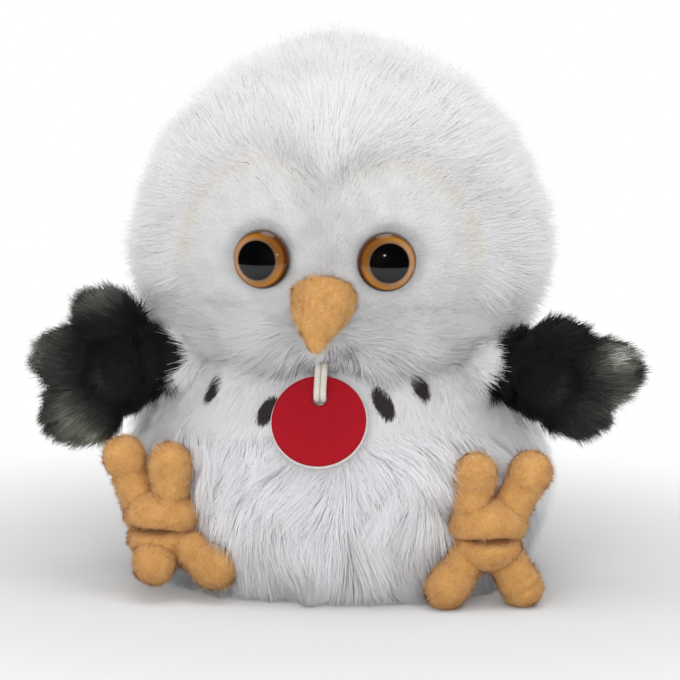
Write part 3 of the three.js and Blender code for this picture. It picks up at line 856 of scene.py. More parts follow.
def growHead():
    scatter = roundMesh("head_scatter", head, headSkin, 7, headSpan)
    grain = headGrain(scatter)
    places, normals = grain["places"], grain["normals"]
    x, y, z = places.T
    away = unit(alongSurface(places - (0, axisY - fanPoint["forward"], fanPoint["head"]), normals))
    down = alongSurface(np.tile((0.0, 0.0, -1.0), (len(x), 1)), normals)
    behind = smooth(axisY - 0.03, axisY + 0.05, y)
    low = smooth(140 * mm, 100 * mm, z)
    crown = smooth(170 * mm, 212 * mm, z)
    under = smooth(122 * mm, 102 * mm, z) * smooth(axisY + 20 * mm, axisY - 20 * mm, y)
    radial = alongSurface(unit((places - (0, axisY, 0)) * (1, 1, 0)), normals)
    settled = 0.1 + 0.6 * low * (1 - under) + 0.4 * behind * smooth(200 * mm, 140 * mm, z)
    swirl = np.cross(normals, away) * (headComb["swirl"] * patches(places, 42 * mm, 5))[:, None]
    brow = smooth(-14 * mm, -2 * mm, grain["inFace"]) * smooth(148 * mm, 160 * mm, z) * (y < axisY)
    rear = smooth(axisY - 10 * mm, axisY + 30 * mm, y)
    share = headComb["away"] - headComb["lessLow"] * low - headComb["lessOnCrown"] * crown * (1 - rear)
    share = (share - headComb["lessAtBrow"] * brow) * (1 - under)
    pileComb = away * share[:, None] + down * (settled + 0.2 * brow)[:, None] + swirl
    pileComb = pileComb + radial * (0.6 * under)[:, None]
    nearFace = smooth(-15 * mm, 0, grain["inFace"]) * smooth(axisY, axisY - 0.04, y)
    nearFace = nearFace * smooth(120 * mm, 140 * mm, z)
    reach = 1 - headComb["shorterByFace"] * nearFace
    reach = reach * (1 - headComb["shorterOnCrown"] * crown) * headComb["longer"]
    reach = reach * (1 + 0.15 * under) * (1 + 0.12 * patches(places, 24 * mm, 6))
    inner, outer = 22 * mm, 24 * mm  # the seams along the gusset
    for name, part, shift in (
        ("head_gusset_pile", smooth(outer, inner, np.abs(x)), 0),
        ("head_side_left_pile", smooth(-inner, -outer, x), 1),
        ("head_side_right_pile", smooth(inner, outer, x), 2),
    ):
        thick = grain["pile"] * part * (1 + 0.5 * under + 0.5 * nearFace)
        fur = {**headFur, "seed": headFur["seed"] + shift}
        growPile(name, scatter, pileComb, reach, thick, 0.5, fur, whitePile)

    # Face: very short, brushed outwards from the beak
    outwards = unit(alongSurface(places - (0, axisY - fanPoint["forward"], fanPoint["face"]), normals))
    reach = 1 + 0.8 * (1 - smooth(0, 7 * mm, grain["inFace"]))
    # Painted shade: the face is painted darker down the middle between the brows, where it dips
    paintedBridgeShade = np.exp(-((x / (12 * mm)) ** 2)) * smooth(176 * mm, 160 * mm, z)
    tone = faceTone["plain"] + faceTone["mottle"] * patches(places, 9 * mm, 4) - faceTone["bridge"] * paintedBridgeShade
    edge = np.exp(-(((grain["inFace"] - 1.5 * mm) / (3 * mm)) ** 2))
    tone = tone + faceTone["edge"] * edge * smooth(126 * mm, 140 * mm, z)
    # Painted shade round each eye, most above it, where the brow's pile shades it
    for sign in (-1, 1):
        apart = np.hypot(x - sign * eyes["across"], z - eyes["height"])
        above = 0.45 + 0.55 * smooth(-4 * mm, 8 * mm, z - eyes["height"])
        tone = tone - faceTone["eyes"] * above * (1 - smooth(11 * mm, 16 * mm, apart))
    comb = outwards * 0.55
    growPile("face_pile", scatter, comb, reach, grain["face"], tone, faceFur, facePile)

    # Cheeks: brushed outwards and down from under the beak
    aim = np.stack([x, np.zeros(len(x)), (z - fanPoint["cheek"]) * 1.6], axis=1)
    fan = unit(alongSurface(aim, normals))
    nearBeak = smooth(26 * mm, 8 * mm, np.abs(x))
    byFace = np.maximum(smooth(-13 * mm, -1 * mm, grain["inFace"]), smooth(112 * mm, 125 * mm, z))
    byCord = smooth(17 * mm, 7 * mm, np.abs(x - 0.5 * mm)) * under
    reach = (1 - 0.3 * nearBeak * (1 - under)) * (1 - 0.5 * byCord) * (1 - 0.55 * byFace * (1 - under))
    swirl = np.cross(normals, fan) * (0.35 * patches(places, 34 * mm, 7))[:, None]
    comb = fan * (0.65 - 0.3 * under)[:, None] + radial * (0.6 * under)[:, None] + swirl
    thick = grain["cheek"] * (1 + 0.5 * under)
    growPile("cheek_pile", scatter, comb, reach, thick, 0.52, cheekFur, whitePile)

    skin = newObject("head_skin", roundMesh("head_skin", head, headSkin, 5, headSpan), whiteSkin)
    pairs = [f"{part}_{side}" for part in ("head_side", "face", "cheek") for side in ("left", "right")]
    declare(skin, "owl", ["head_gusset", *pairs])


growHead()
print("head grown", flush=True)


# Dark strokes brushed into the chest: across, up, half length, half width, lean from upright
spots = [
    (-44, 83.5, 6.4, 2.5, 36),
    (-22, 77.5, 5.8, 3.3, 28),
    (22.5, 81, 6.8, 3.1, -32),
    (34.5, 87, 6.6, 2.7, -42),
]
chestFur = {
    **plainFur,
    "strands": 42500, "length": 11 * mm, "stand": 0.65, "settle": 0.45, "ruffle": 0.22,
    "tuftPull": 0.12, "uneven": 0.3, "droop": 0.3, "lift": 0.15, "seed": 41,
}
bellyFur = {
    **plainFur,
    "strands": 29000, "steps": 3, "length": 25 * mm, "stand": 0.75, "settle": 0.25, "ruffle": 0.22,
    "tuftSize": 10 * mm, "tuftPull": 0.34, "tuftRuffle": 0.34, "droop": 0.6, "lift": 0.25,
    "seed": 51,
}
backFur = {
    **plainFur,
    "strands": 30500, "width": 0.32 * mm, "ruffle": 0.18, "tuftSize": 9 * mm, "tuftRuffle": 0.14,
    "droop": 0.35, "lift": 0.35, "seed": 61,
}


def footShadow(x, y, z):
    covered = np.zeros(len(x))
    for sign in (-1, 1):
        apart = np.hypot((x - sign * 62 * mm) / (17 * mm), (z - 26 * mm) / (30 * mm))
        covered = np.maximum(covered, np.where(y < axisY, 1 - smooth(0.75, 1.15, apart), 0))
    return covered


# Where the chest meets the belly, and how far round from the front the back's panels begin, in degrees
bodySeams = {"height": 68 * mm, "blur": 2 * mm, "backFrom": 72, "backWhole": 78}
# How strongly each pile swirls along the skin, and how wide its swirls are
bodySwirls = {"chest": (0.35, 30 * mm), "belly": (0.95, 40 * mm), "back": (0.35, 40 * mm)}
frontTone = 0.35  # the chest's and belly's tone
spotTone = (0.5, 0.7)  # the tone round a spot, and what the full ink adds


def growBody():
    low, high = bodySpan
    scatter = roundMesh("body_scatter", body, bodySkin, 7, bodySpan)
    places, normals = readPlaces(scatter), readNormals(scatter)
    x, y, z = places.T
    top = smooth(high - 0.2 * mm, high - 0.6 * mm, z)
    bottom = smooth(low + 0.1 * mm, low + 0.6 * mm, z)
    angle = np.degrees(np.arctan2(np.abs(x), -(y - axisY)))
    front = smooth(bodySeams["backWhole"], bodySeams["backFrom"], angle)
    seam, blur = bodySeams["height"], bodySeams["blur"]
    aboveSeam = smooth(seam - blur, seam + blur, z)
    chest = front * aboveSeam * top
    belly = front * (1 - aboveSeam) * bottom
    back = (1 - front) * top * bottom
    down = unit(alongSurface(np.tile((0.0, 0.0, -1.0), (len(x), 1)), normals))
    outwards = alongSurface(np.stack([x, np.zeros(len(x)), np.zeros(len(x))], axis=1) / 0.08, normals)
    covered = footShadow(x, y, z) * smooth(9 * mm, 20 * mm, z)
    spread = unit((places - (0, axisY, 0)) * (1, 1, 0)) * (0.9 * smooth(20 * mm, 6 * mm, z))[:, None]
    sideways = np.cross(normals, down)

    def swirled(part, seed):
        strength, width = bodySwirls[part]
        return sideways * (strength * patches(places, width, seed))[:, None]

    tone = np.full(len(x), frontTone)
    nearSpot, bySpot = np.zeros(len(x)), np.zeros(len(x))
    for across, up, halfLength, halfWidth, lean in spots:
        turn = math.radians(lean)
        dx, dz = x - across * mm, z - up * mm
        u = (dx * math.sin(turn) + dz * math.cos(turn)) / (halfLength * mm)
        v = (dx * math.cos(turn) - dz * math.sin(turn)) / (halfWidth * mm)
        apart = np.hypot(u, v)
        ink = (1 - smooth(0.7, 1.35, apart)) * (y < axisY)
        tone = np.maximum(tone, spotTone[0] + spotTone[1] * ink)
        nearSpot = np.maximum(nearSpot, 1 - smooth(1.0, 2.6, apart))
        bySpot = np.maximum(bySpot, 1 - smooth(2.5, 5.0, np.hypot(dx, dz) / (halfWidth * mm)))
    besideTag = smooth(15 * mm, 26 * mm, np.abs(x - 1.5 * mm))
    byNeck = besideTag * smooth(76 * mm, 89 * mm, z) * (1 - 0.8 * bySpot)
    byTag = (1 - besideTag) * smooth(58 * mm, 70 * mm, z)
    reach = (1 - 0.5 * nearSpot) * (1 - 0.3 * covered) * (1 + 0.5 * byNeck) * (1 - 0.35 * byTag)
    comb = down * (0.9 - 0.5 * byNeck)[:, None] + outwards * 0.3 + swirled("chest", 8)
    growPile("chest_pile", scatter, comb, reach, chest, tone, chestFur, whitePile)

    underTag = smooth(30 * mm, 12 * mm, np.abs(x)) * smooth(48 * mm, 60 * mm, z)
    reach = (1 - 0.6 * covered) * (1 - 0.4 * underTag) * (1 + 0.2 * patches(places, 22 * mm, 9))
    comb = down * 0.9 + outwards * 0.25 + swirled("belly", 10) + spread
    growPile("belly_pile", scatter, comb, reach, belly, frontTone, bellyFur, whitePile)

    nearNeck = smooth(60 * mm, 84 * mm, z)
    reach = (1 - 0.5 * covered) * (1 + 0.15 * nearNeck)
    comb = down * (0.75 - 0.45 * nearNeck)[:, None] + swirled("back", 12) + spread
    for name, part, shift in (("back_left_pile", x < 0, 0), ("back_right_pile", x >= 0, 1)):
        fur = {**backFur, "seed": backFur["seed"] + shift}
        growPile(name, scatter, comb, reach, back * part, 0.5, fur, whitePile)

    skin = newObject("body_skin", roundMesh("body_skin", body, bodySkin, 5, bodySpan), whiteSkin)
    panels = ["chest_panel", "belly_panel", "back_panel_left", "back_panel_right"]
    declare(skin, "owl", panels)


growBody()
print("body grown", flush=True)


# A smooth stuffed form made from a frame solid: evenly meshed, softened at its seams and puffed a little
def softened(name, node, material, voxel, rounds, puff=0):
    maker = bmesh.new()
    maker.from_mesh(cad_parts[node].data)
    bmesh.ops.remove_doubles(maker, verts=maker.verts, dist=1e-6)
    final = evened(meshFrom(maker, name), voxel, rounds)
    places = readPlaces(final) + readNormals(final) * puff
    places[:, 2] = np.maximum(places[:, 2], 0.1 * mm)
    writePlaces(final, places)
    final.name = name
    return newObject(name, final, material)


# Folds pressed into a stuffed toe: shares of its length from root to tip, and their depth
toeFolds = {
    "foot_left_toe_1": [(0.5, 1.0)],
    "foot_left_toe_4": [(0.42, 0.6)],
    "foot_right_toe_1": [(0.4, 0.7), (0.72, 0.4)],
    "foot_right_toe_2": [(0.5, 0.6)],
    "foot_right_toe_3": [(0.35, 0.5)],
    "foot_right_toe_4": [(0.66, 0.9)],
}
foldWidth = 1.6 * mm


def pressFolds(piece, folds, middle):
    mesh = piece.data
    places, normals = readPlaces(mesh), readNormals(mesh)
    centre = places.mean(axis=0)
    axis = np.linalg.eigh(np.cov((places - centre).T))[1][:, 2]
    if axis @ (centre - middle) <= 0:
        axis = -axis
    along = (places - centre) @ axis
    length = along.max() - along.min()
    wander = 1.2 * mm * patches(places, 14 * mm, 3)
    for share, depth in folds:
        apart = (along - along.min() - share * length + wander) / foldWidth
        places = places - normals * (depth * mm * np.exp(-apart * apart))[:, None]
    writePlaces(mesh, places)


feltFuzz = {
    **plainFur,
    "strands": 14000, "steps": 1, "length": 2.7 * mm, "width": 0.2 * mm, "stand": 0.5,
    "settle": 0.6, "ruffle": 0.6, "tuftSize": 2.4 * mm, "tuftPull": 0.05, "tuftRuffle": 0.2,
    "uneven": 0.5, "droop": 0.05, "lift": 0.15,
}


# Short fuzz over finished pieces, in one object for each body
def fuzzOver(name, pieces, seed, body, tone=0.5, downwards=0.25):
    maker = bmesh.new()
    for piece in pieces:
        maker.from_mesh(piece.data)
    bmesh.ops.triangulate(maker, faces=maker.faces)
    mesh = meshFrom(maker, name)
    places, normals = readPlaces(mesh), readNormals(mesh)
    swirl = np.stack([patches(places, 9 * mm, seed + turn) for turn in (1, 2, 3)], axis=1)
    comb = alongSurface(swirl * 0.8 - (0.0, 0.0, downwards), normals)
    mottle = patches(places, 3.2 * mm, seed + 4)
    reach, thick, tone = 1 + 0.2 * mottle, np.ones(len(places)), tone + 0.14 * mottle
    growPile(name, mesh, comb, reach, thick, tone, {**feltFuzz, "seed": seed}, goldPile, body)


# How many rounds of softening a toe and a pad get, and how far they are puffed out
footPuff = {False: (5, 0.5 * mm), True: (3, 1.35 * mm)}


def addFeet():
    for side, sign in (("left", -1), ("right", 1)):
        for level, owner, toes in (("upper", f"foot_{side}_upper", (1, 2)), ("lower", "owl", (3, 4))):
            pieces = []
            for part in [f"{level}_pad"] + [f"toe_{toe}" for toe in toes]:
                node = f"foot_{side}_{part}"
                rounds, puff = footPuff[part.endswith("pad")]
                piece = softened(node + "_felt", node, goldFelt, 1.1 * mm, rounds, puff)
                pressFolds(piece, toeFolds.get(node, []), (sign * 0.065, -0.06, 0.028))
                declare(piece, owner, [node])
                pieces.append(piece)
            fuzzOver(f"foot_{side}_{level}_fuzz", pieces, 71 + max(sign, 0), owner)


addFeet()
print("feet made", flush=True)


# The heights between which the beak's tip bends, and how far it goes
beakHook = {"from": 126 * mm, "to": 106 * mm, "shift": (1.6 * mm, 0, 1.4 * mm)}


def addBeak():
    piece = softened("beak_felt", "beak", goldFelt, voxel=0.9 * mm, rounds=6, puff=0.3 * mm)
    declare(piece, "owl", ["beak"])
    # The tip hooks down and a little to one side
    places = readPlaces(piece.data)
    hooked = smooth(beakHook["from"], beakHook["to"], places[:, 2])[:, None]
    writePlaces(piece.data, places - hooked * beakHook["shift"])
    fuzzOver("beak_fuzz", [piece], 81, "owl", 0.6, 1.0)


addBeak()


# Each lobe: reach from the hinge, rise over the neck, half length, half height, half thickness
wings = {
    "left": [
        (18, -0.5, 17, 8, 4),
        (30, -3, 17, 15, 7),
        (36, -6, 16.5, 16.5, 9),
        (41, 12, 12.5, 11.5, 6),
        (54.5, -2, 13, 11.5, 5.5),
        (50, -21, 15, 13, 6),
    ],
    "right": [
        (18, -0.5, 17, 8, 4),
        (30, -3, 17, 15, 7),
        (37, -6, 16.5, 15, 9),
        (41, 4, 14, 12, 6),
        (58, -2, 13.5, 12, 5.5),
        (47, -14, 14, 12, 6),
    ],
}
hinge = {"across": 49 * mm, "forward": 35 * mm, "yaw": 10}
wingPalm = (34 * mm, -4 * mm)  # the middle that the black pile fans out from, out and up
wingFur = {
    **plainFur,
    "strands": 35000, "length": 10.5 * mm, "width": 0.28 * mm, "stand": 0.55, "settle": 0.3,
    "ruffle": 0.24, "tuftSize": 5 * mm, "tuftPull": 0.4, "tuftRuffle": 0.25, "uneven": 0.55,
    "droop": 0.05, "lift": 0.2,
}
# White pile on the root of a wing, which hangs over the black
rootFur = {
    **plainFur,
    "strands": 9000, "length": 15 * mm, "stand": 0.9, "settle": 0.5, "ruffle": 0.3,
    "tuftSize": 5 * mm, "tuftRuffle": 0.2, "uneven": 0.5, "lift": 0.5,
}


# How far out the white fur hides each wing's root, and how much farther at its edges and here and there
whiteRoot = {"left": 6 * mm, "right": 9 * mm, "curve": 0.045 / mm, "most": 15 * mm, "uneven": 2.5 * mm}
# The tone that the black gets at the rim, its share on the inner half, and a painted highlight: a pale
# crescent round the palm pad
wingTone = {"palm": 0.04, "rim": 0.7, "inner": 0.35, "stroke": 0.4}


def addWing(side, sign, seed):
    turn = Matrix.Rotation(math.radians(-sign * hinge["yaw"]), 4, "Z")
    place = Matrix.Translation((sign * hinge["across"], axisY - hinge["forward"], neck)) @ turn
    maker = bmesh.new()
    for reach, rise, halfLength, halfHeight, puff in wings[side]:
        size = Matrix.Diagonal((halfLength * mm, puff * mm, halfHeight * mm, 1))
        shift = Matrix.Translation((sign * reach * mm, 0, rise * mm))
        bmesh.ops.create_icosphere(maker, subdivisions=5, radius=1, matrix=place @ shift @ size)
    final = evened(meshFrom(maker, f"wing_{side}"), 1.2 * mm, 4, split=True)
    skin = newObject(f"wing_{side}_skin", final, blackSkin)
    declare(skin, f"wing_{side}", [f"wing_{side}_front", f"wing_{side}_back"])

    places, normals = readPlaces(final), readNormals(final)
    palm = np.array(place @ Vector((sign * wingPalm[0], 0, wingPalm[1])))
    root = np.array(place.translation)
    fan = unit(alongSurface(places - palm, normals))
    straight = np.array(turn @ Vector((sign, 0, 0)))[:3]
    outwards = alongSurface(np.tile(straight, (len(places), 1)), normals)
    apart = np.linalg.norm(places - palm, axis=1)
    rim = smooth(12 * mm, 30 * mm, apart)
    swirl = np.cross(normals, fan) * (0.3 * patches(places, 26 * mm, seed))[:, None]
    byRoot = smooth(0, -13 * mm, sign * (places[:, 0] - palm[0]))
    comb = fan * ((0.35 + 0.65 * rim) * (1 - 0.9 * byRoot))[:, None]
    comb = comb + outwards * (0.3 + 0.5 * byRoot)[:, None] + swirl
    pad = 1 - smooth(11 * mm, 17 * mm, apart)
    inner = sign * (places[:, 0] - palm[0]) < 0
    reach = 0.35 + 0.65 * smooth(11 * mm, 24 * mm, apart)
    tone = wingTone["rim"] * rim * np.where(inner, wingTone["inner"], 1)
    tone = wingTone["palm"] + tone * (1 + 0.25 * patches(places, 18 * mm, seed + 1))
    # Painted highlight: a pale crescent on the front of the palm pad, on its lower outer side
    lowOuter = unit(places - palm) @ unit(np.array([(sign, 0, -0.5)]))[0]
    paintedPadHighlight = np.exp(-(((apart - 13 * mm) / (1.6 * mm)) ** 2)) * smooth(0.2, 0.8, lowOuter)
    tone = tone + wingTone["stroke"] * paintedPadHighlight * (places[:, 1] < palm[1])
    offset = places - root
    reached = offset @ straight
    bow = whiteRoot["curve"] * (offset[:, 2] + 2 * mm) ** 2
    edge = whiteRoot[side] + np.minimum(bow, whiteRoot["most"])
    edge = edge + whiteRoot["uneven"] * patches(places, 7 * mm, seed + 7)
    white = 1 - smooth(edge - 2 * mm, edge + 2 * mm, reached)
    final.materials.append(whiteSkin)
    for polygon in final.polygons:
        polygon.material_index = int(white[list(polygon.vertices)].mean() > 0.5)
    name = f"wing_{side}"
    thick = (1 + pad * 0.6) * (1 - white)
    fur = {**wingFur, "seed": seed}
    growPile(name + "_pile", final, comb, reach, thick, tone, fur, blackPile, name)
    comb = outwards * 1.1 + swirl
    reach = 0.5 + 0.5 * smooth(0, 10 * mm, reached)
    thick = white * smooth(-4 * mm, 4 * mm, reached)
    fur = {**rootFur, "seed": seed + 5}
    growPile(name + "_root_pile", final, comb, reach, thick, 0.5, fur, whitePile, name)


for side, sign, seed in (("left", -1, 91), ("right", 1, 92)):
    addWing(side, sign, seed)
print("wings made", flush=True)


def addEye(side, sign):
    across = eyes["across"]
    seat = eyes["faceDepth"] * math.sqrt(1 - (across / eyes["faceWidth"]) ** 2) - eyes["sunk"]
    turn = Matrix.Rotation(math.radians(sign * eyes["splay"]), 4, "Z")
    place = Matrix.Translation((sign * across, axisY - seat, eyes["height"])) @ turn
    radius, rim = eyes["radius"], eyes["rim"]
    dome = eyes["dome"] - rim
    profile = [(radius - 0.5 * mm, 0.0), (radius, 0.3 * mm)]
    rings = 24
    for step in range(rings + 1):
        angle = math.pi / 2 * step / rings
        profile.append((radius * math.cos(angle), rim + dome * math.sin(angle)))
    segments = 72
    turns = [2 * math.pi * k / segments for k in range(segments)]
    maker = bmesh.new()
    loops = []
    for reach, out in profile[:-1]:
        loops.append([maker.verts.new((reach * math.cos(a), -out, reach * math.sin(a))) for a in turns])
    tip = maker.verts.new((0, -profile[-1][1], 0))
    bridge(maker, loops)
    for k in range(segments):
        maker.faces.new((loops[-1][k], loops[-1][(k + 1) % segments], tip))
    maker.faces.new(loops[0][::-1])
    bmesh.ops.recalc_face_normals(maker, faces=maker.faces)
    mesh = meshFrom(maker, f"eye_{side}_dome")
    local = readPlaces(mesh)
    uv = mesh.uv_layers.new(name="lensMap")
    for loop in mesh.loops:
        point = local[loop.vertex_index]
        uv.data[loop.index].uv = (0.5 + sign * point[0] / (2 * radius), 0.5 + point[2] / (2 * radius))
    mesh.transform(place)
    piece = newObject(f"eye_{side}_dome", mesh, amberLens)
    declare(piece, "owl", [f"eye_{side}_lens"])


for side, sign in (("left", -1), ("right", 1)):
    addEye(side, sign)
for part, plastic in (("post", blackPlastic), ("washer", washerPlastic)):
    for side in ("left", "right"):
        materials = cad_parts[f"eye_{side}_{part}"].data.materials
        materials.clear()
        materials.append(plastic)
print("eyes made", flush=True)


# The flat frame of a disc: its middle, the way it faces and the way up along it
def discFrame(node):
    places = readPlaces(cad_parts[node].data)
    lowest, highest = places.min(axis=0), places.max(axis=0)
    middle = (lowest + highest) / 2
    facing = np.linalg.eigh(np.cov((places - places.mean(axis=0)).T))[1][:, 0]
    if facing[1] > 0:
        facing = -facing
    across = np.array((1.0, 0, 0))
    across = across - facing * (across @ facing)
    across = across / np.linalg.norm(across)
    up = np.cross(facing, across)
    if up[2] < 0:
        up = -up
    return middle, facing, across, up


def addDisc(node, radius, thickness, material, slotName):
    middle, facing, across, up = discFrame(node)
    segments = 120
    maker = bmesh.new()
    half = thickness / 2
    soft = thickness * 0.28
    profile = [(radius, half - soft), (radius - soft * 0.3, half - soft * 0.3), (radius - soft, half)]
    profile = profile[::-1] + [(r, -h) for r, h in profile]

    def ring(reach, height, centre):
        points = []
        for k in range(segments):
            angle = 2 * math.pi * k / segments
            flat = np.array((centre[0] + reach * math.cos(angle), centre[1] + reach * math.sin(angle)))
            points.append(maker.verts.new(middle + across * flat[0] + up * flat[1] + facing * height))
        return points

    holeCentre, holeRadius = (0, tag["holeUp"]), tag["holeRadius"]
    outer = [ring(reach, height, (0, 0)) for reach, height in profile]
    inner = [ring(holeRadius, height, holeCentre) for height in (half, -half)]
    frontRings, backRings = [], []
    steps = 14
    for step in range(1, steps):
        share = step / steps
        centre = (holeCentre[0] * share, holeCentre[1] * share)
        reach = (radius - soft) * (1 - share) + holeRadius * share
        frontRings.append(ring(reach, half, centre))
        backRings.append(ring(reach, -half, centre))
    bridge(maker, [inner[0]] + frontRings[::-1] + outer + backRings + [inner[1], inner[0]])
    bmesh.ops.recalc_face_normals(maker, faces=maker.faces)
    mesh = meshFrom(maker, node + "_felt")
    places = readPlaces(mesh)
    uv = mesh.uv_layers.new(name="discMap")
    for loop in mesh.loops:
        offset = places[loop.vertex_index] - middle
        flat = (offset @ across, offset @ up)
        uv.data[loop.index].uv = [0.5 + value / (2.2 * radius) for value in flat]
    piece = newObject(node + "_felt", mesh, material)
    declare(piece, "tag", [node])


# The radius and thickness of the tag's two discs, and their hole, which lies above the middle
tag = {
    "face": (18.6 * mm, 1.6 * mm),
    "backing": (19.1 * mm, 1.2 * mm),
    "holeUp": 9 * mm,
    "holeRadius": 2.9 * mm,
}
addDisc("tag_face", *tag["face"], redFelt, "red_felt")
addDisc("tag_backing", *tag["backing"], whiteFelt, "white_felt")

# The cord: two twisted strands side by side, in over the tag's top edge and through its hole
cord = {
    "radius": 1.34 * mm,
    "apart": 1.24 * mm,
    "pitch": 4.2 * mm,
    "plies": 3,
    "groove": 0.2,
    "standOut": 4.75 * mm,
    "bendHeight": 12.85 * mm,
    "bendLeg": 2.2 * mm,
    "turn": 2.6 * mm,
    "holeBack": 2.3 * mm,
    "sewnIn": 1.6 * mm,
}


def addCord():
    middle, facing, across, up = discFrame("tag_face")
    hole = middle + up * tag["holeUp"] - facing * cord["holeBack"]
    low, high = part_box("tag_cord_root")

    def spot(out, rise):
        return hole + facing * out + up * rise

    out, turn, leg = cord["standOut"], cord["turn"], cord["bendLeg"]
    bend = spot(out, cord["bendHeight"])
    seam = np.array(((low.x + high.x) / 2, high.y, neck))
    inwards = (seam - bend) / np.linalg.norm(seam - bend)
    route = [seam + inwards * cord["sewnIn"], bend + inwards * leg]
    for step in range(1, 8):
        share = step / 8
        route.append(bend + inwards * leg * (1 - share) ** 2 - up * leg * share**2)
    route += [bend - up * leg, spot(out, turn)]
    for step in range(1, 9):
        angle = math.pi / 2 * step / 8
        route.append(spot(out - turn + turn * math.cos(angle), turn - turn * math.sin(angle)))
    route.append(hole)
    route = np.array(route)
    gone = np.concatenate([[0], np.cumsum(np.linalg.norm(np.diff(route, axis=0), axis=1))])
    at = np.linspace(0, gone[-1], int(gone[-1] / (0.35 * mm)))
    path = np.stack([np.interp(at, gone, route[:, k]) for k in range(3)], axis=1)
    ahead = unit(np.gradient(path, axis=0))
    beside = np.cross(ahead, across)
    maker = bmesh.new()
    sides = 20
    for sign in (-1, 1):
        rings = []
        for place, normal, length in zip(path, beside, at):
            ring = []
            for k in range(sides):
                angle = 2 * math.pi * k / sides
                wound = angle - sign * 2 * math.pi * length / cord["pitch"]
                ply = abs(math.cos(cord["plies"] / 2 * wound))
                reach = cord["radius"] * (1 - cord["groove"] * (1 - ply))
                aside = across * (sign * cord["apart"] + reach * math.cos(angle))
                ring.append(maker.verts.new(place + (aside + normal * reach * math.sin(angle))))
            rings.append(ring)
        bridge(maker, rings)
        maker.faces.new(rings[0][::-1])
        maker.faces.new(rings[-1])
    bmesh.ops.recalc_face_normals(maker, faces=maker.faces)
    piece = newObject("tag_cord_cotton", meshFrom(maker, "tag_cord_cotton"), cordFinish)
    start, end = bend + inwards * leg, bend - up * leg
    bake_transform(piece)
    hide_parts("tag_cord_root", "tag_cord")
    fineness = {"voxel": 0.28 * mm, "rounds": 3, "puff": 0.05 * mm}
    knot = softened("tag_knot_cotton", "tag_knot", cordFinish, **fineness)
    declare(knot, "tag_cord", ["tag_knot"])
    print("cord length in mm", round(gone[-1] / mm, 1), flush=True)


addCord()
print("tag made", flush=True)


def addFilling(part, form, skin, span):
    mesh = roundMesh(f"{part}_filling", form, skin - 1 * mm, 4, span)
    piece = newObject(f"{part}_filling", mesh, fibreFill)
    declare(piece, "owl", [f"{part}_stuffing"])


addFilling("head", head, headSkin, headFill)
addFilling("body", body, bodySkin, bodyFill)
bag = softened("pellet_bag_calico", "pellet_bag", calico, voxel=2 * mm, rounds=6)
declare(bag, "owl", ["pellet_bag"])
base = softened("base_panel_cloth", "base_panel", whiteSkin, voxel=1.5 * mm, rounds=2)
declare(base, "owl", ["base_panel"])
print("inside made", flush=True)


# The floor's two greys near the owl, and how far from it they turn into plain white
floor = {"size": 6, "dark": 206, "light": 212, "whiteFrom": 0.13, "whiteWhole": 0.33}


def addFloor():
    maker = bmesh.new()
    bmesh.ops.create_grid(maker, x_segments=1, y_segments=1, size=floor["size"])
    mesh = meshFrom(maker, "floor")
    material, tree = newMaterial("floor")
    place = tree.place()
    away = (place - (0.0, axisY, 0.0)).length()
    paper = tree.noise(place, 600, 2)
    white = tree.mix(paper, rgba(*[floor["dark"]] * 3), rgba(*[floor["light"]] * 3))
    lit = tree.add("ShaderNodeBsdfDiffuse", {}, {"Color": white, "Roughness": 1.0})
    glow = tree.add("ShaderNodeEmission", {}, {"Color": (1, 1, 1, 1), "Strength": 1.0})
    far = away.step(floor["whiteFrom"], floor["whiteWhole"])
    blend = tree.add("ShaderNodeMixShader", {}, {0: far, 1: lit, 2: glow})
    tree.add("ShaderNodeOutputMaterial", {}, {"Surface": blend})
    newObject("floor", mesh, material)


skyLight = 0.87  # what the white world gives, against the plain white that it shows


def addWorld():
    world = bpy.data.worlds.new("studio")
    bpy.context.scene.world = world
    world.use_nodes = True
    tree = Tree(world.node_tree)
    path = tree.add("ShaderNodeLightPath")
    seen = path.also("Is Camera Ray") + path.also("Is Glossy Ray") + path.also("Is Transmission Ray")
    seen = seen.call("MINIMUM", 1.0)
    white = tree.add("ShaderNodeBackground", {}, {"Color": (1, 1, 1, 1), "Strength": 1.0})
    soft = tree.add("ShaderNodeBackground", {}, {"Color": (0.99, 0.99, 1, 1), "Strength": skyLight})
    both = tree.add("ShaderNodeMixShader", {}, {0: seen, 1: soft, 2: white})
    tree.add("ShaderNodeOutputWorld", {}, {"Surface": both})


# Two soft lights, one above the owl and a low one before it, which both shine on one point
lights = {
    "softbox": {"place": (0.05, -0.1, 1.4), "size": 1.0, "power": 7},
    "front_fill": {"place": (0, -1.4, 0.1), "size": 1.0, "power": 11},
}
lightAim = (0, axisY, 0.1)


def addLight(name, light):
    lamp = bpy.data.lights.new(name, "AREA")
    lamp.shape = "SQUARE"
    lamp.size = light["size"]
    lamp.energy = light["power"]
    thing = linked(name, lamp)
    thing.location = light["place"]
    aim = Vector(lightAim) - Vector(light["place"])
    thing.rotation_euler = aim.to_track_quat("-Z", "Y").to_euler()


addFloor()
addWorld()
for lightName, light in lights.items():
    addLight(lightName, light)


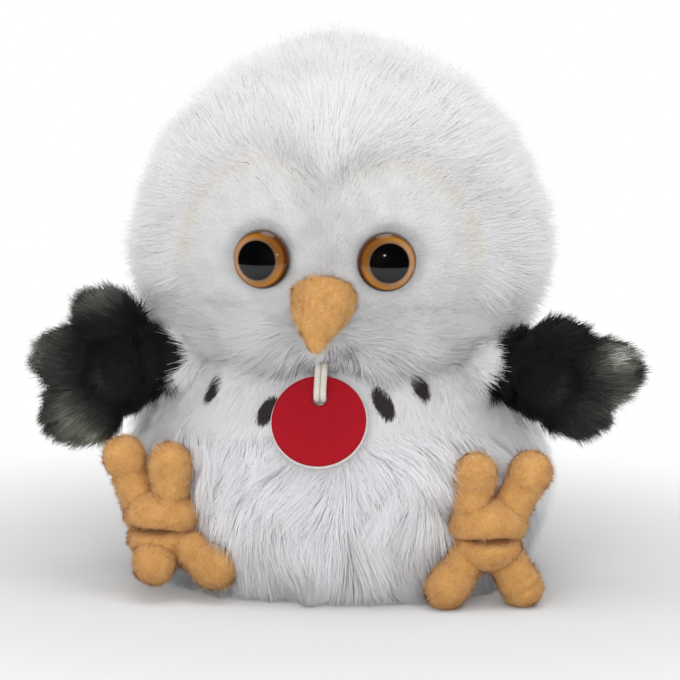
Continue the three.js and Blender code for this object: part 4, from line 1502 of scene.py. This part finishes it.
# Curved cards in front of the owl that only its glossy eyes see: a dark one over the white table, and
# a small bright one for the sparkle. From and to are degrees round the upright axis from straight ahead.
cards = {
    "dark_card": {"from": -115, "to": 115, "low": 0.03, "high": 3.5, "distance": 0.45, "glow": 0.004},
    "sparkle_card": {"from": 14, "to": 18, "low": 0.2, "high": 0.225, "distance": 0.43, "glow": 14.0},
}


def addCard(name, card):
    maker = bmesh.new()
    count = 24
    edges = []
    for step in range(count + 1):
        angle = math.radians(card["from"] + (card["to"] - card["from"]) * step / count)
        x, y = card["distance"] * math.sin(angle), -card["distance"] * math.cos(angle)
        edges.append((maker.verts.new((x, y, card["low"])), maker.verts.new((x, y, card["high"]))))
    for first, second in zip(edges, edges[1:]):
        maker.faces.new((first[0], second[0], second[1], first[1]))
    mesh = meshFrom(maker, name)
    material, tree = newMaterial(name)
    shade = tree.add("ShaderNodeEmission", {}, {"Color": (1, 1, 1, 1), "Strength": card["glow"]})
    tree.add("ShaderNodeOutputMaterial", {}, {"Surface": shade})
    piece = newObject(name, mesh, material)
    for ray in ("camera", "diffuse", "shadow", "transmission"):
        setattr(piece, "visible_" + ray, False)


for cardName, card in cards.items():
    addCard(cardName, card)

# Where the camera looks, from how many degrees round and up, and the width that it sees
view = {
    "target": (0, axisY, 0.094),
    "azimuth": 5,
    "elevation": 8,
    "roll": 0.7,
    "distance": 1.25,
    "across": 0.2815,
    "shift": 5 / 680,
}


def addCamera():
    a, e, r = (math.radians(view[name]) for name in ("azimuth", "elevation", "roll"))
    right = Vector((math.cos(a), math.sin(a), 0))
    back = Vector((math.sin(a) * math.cos(e), -math.cos(a) * math.cos(e), math.sin(e)))
    up = back.cross(right)
    turnedRight = math.cos(r) * right + math.sin(r) * up
    turnedUp = math.cos(r) * up - math.sin(r) * right
    lens = bpy.data.cameras.new("camera")
    lens.sensor_width = 36
    lens.lens = 36 * view["distance"] / view["across"]
    lens.shift_y = view["shift"]
    thing = linked("camera", lens)
    matrix = Matrix((turnedRight, turnedUp, back)).transposed().to_4x4()
    matrix.translation = Vector(view["target"]) + back * view["distance"]
    thing.matrix_world = matrix
    bpy.context.scene.camera = thing


addCamera()
bpy.context.scene.view_settings.view_transform = "Standard"
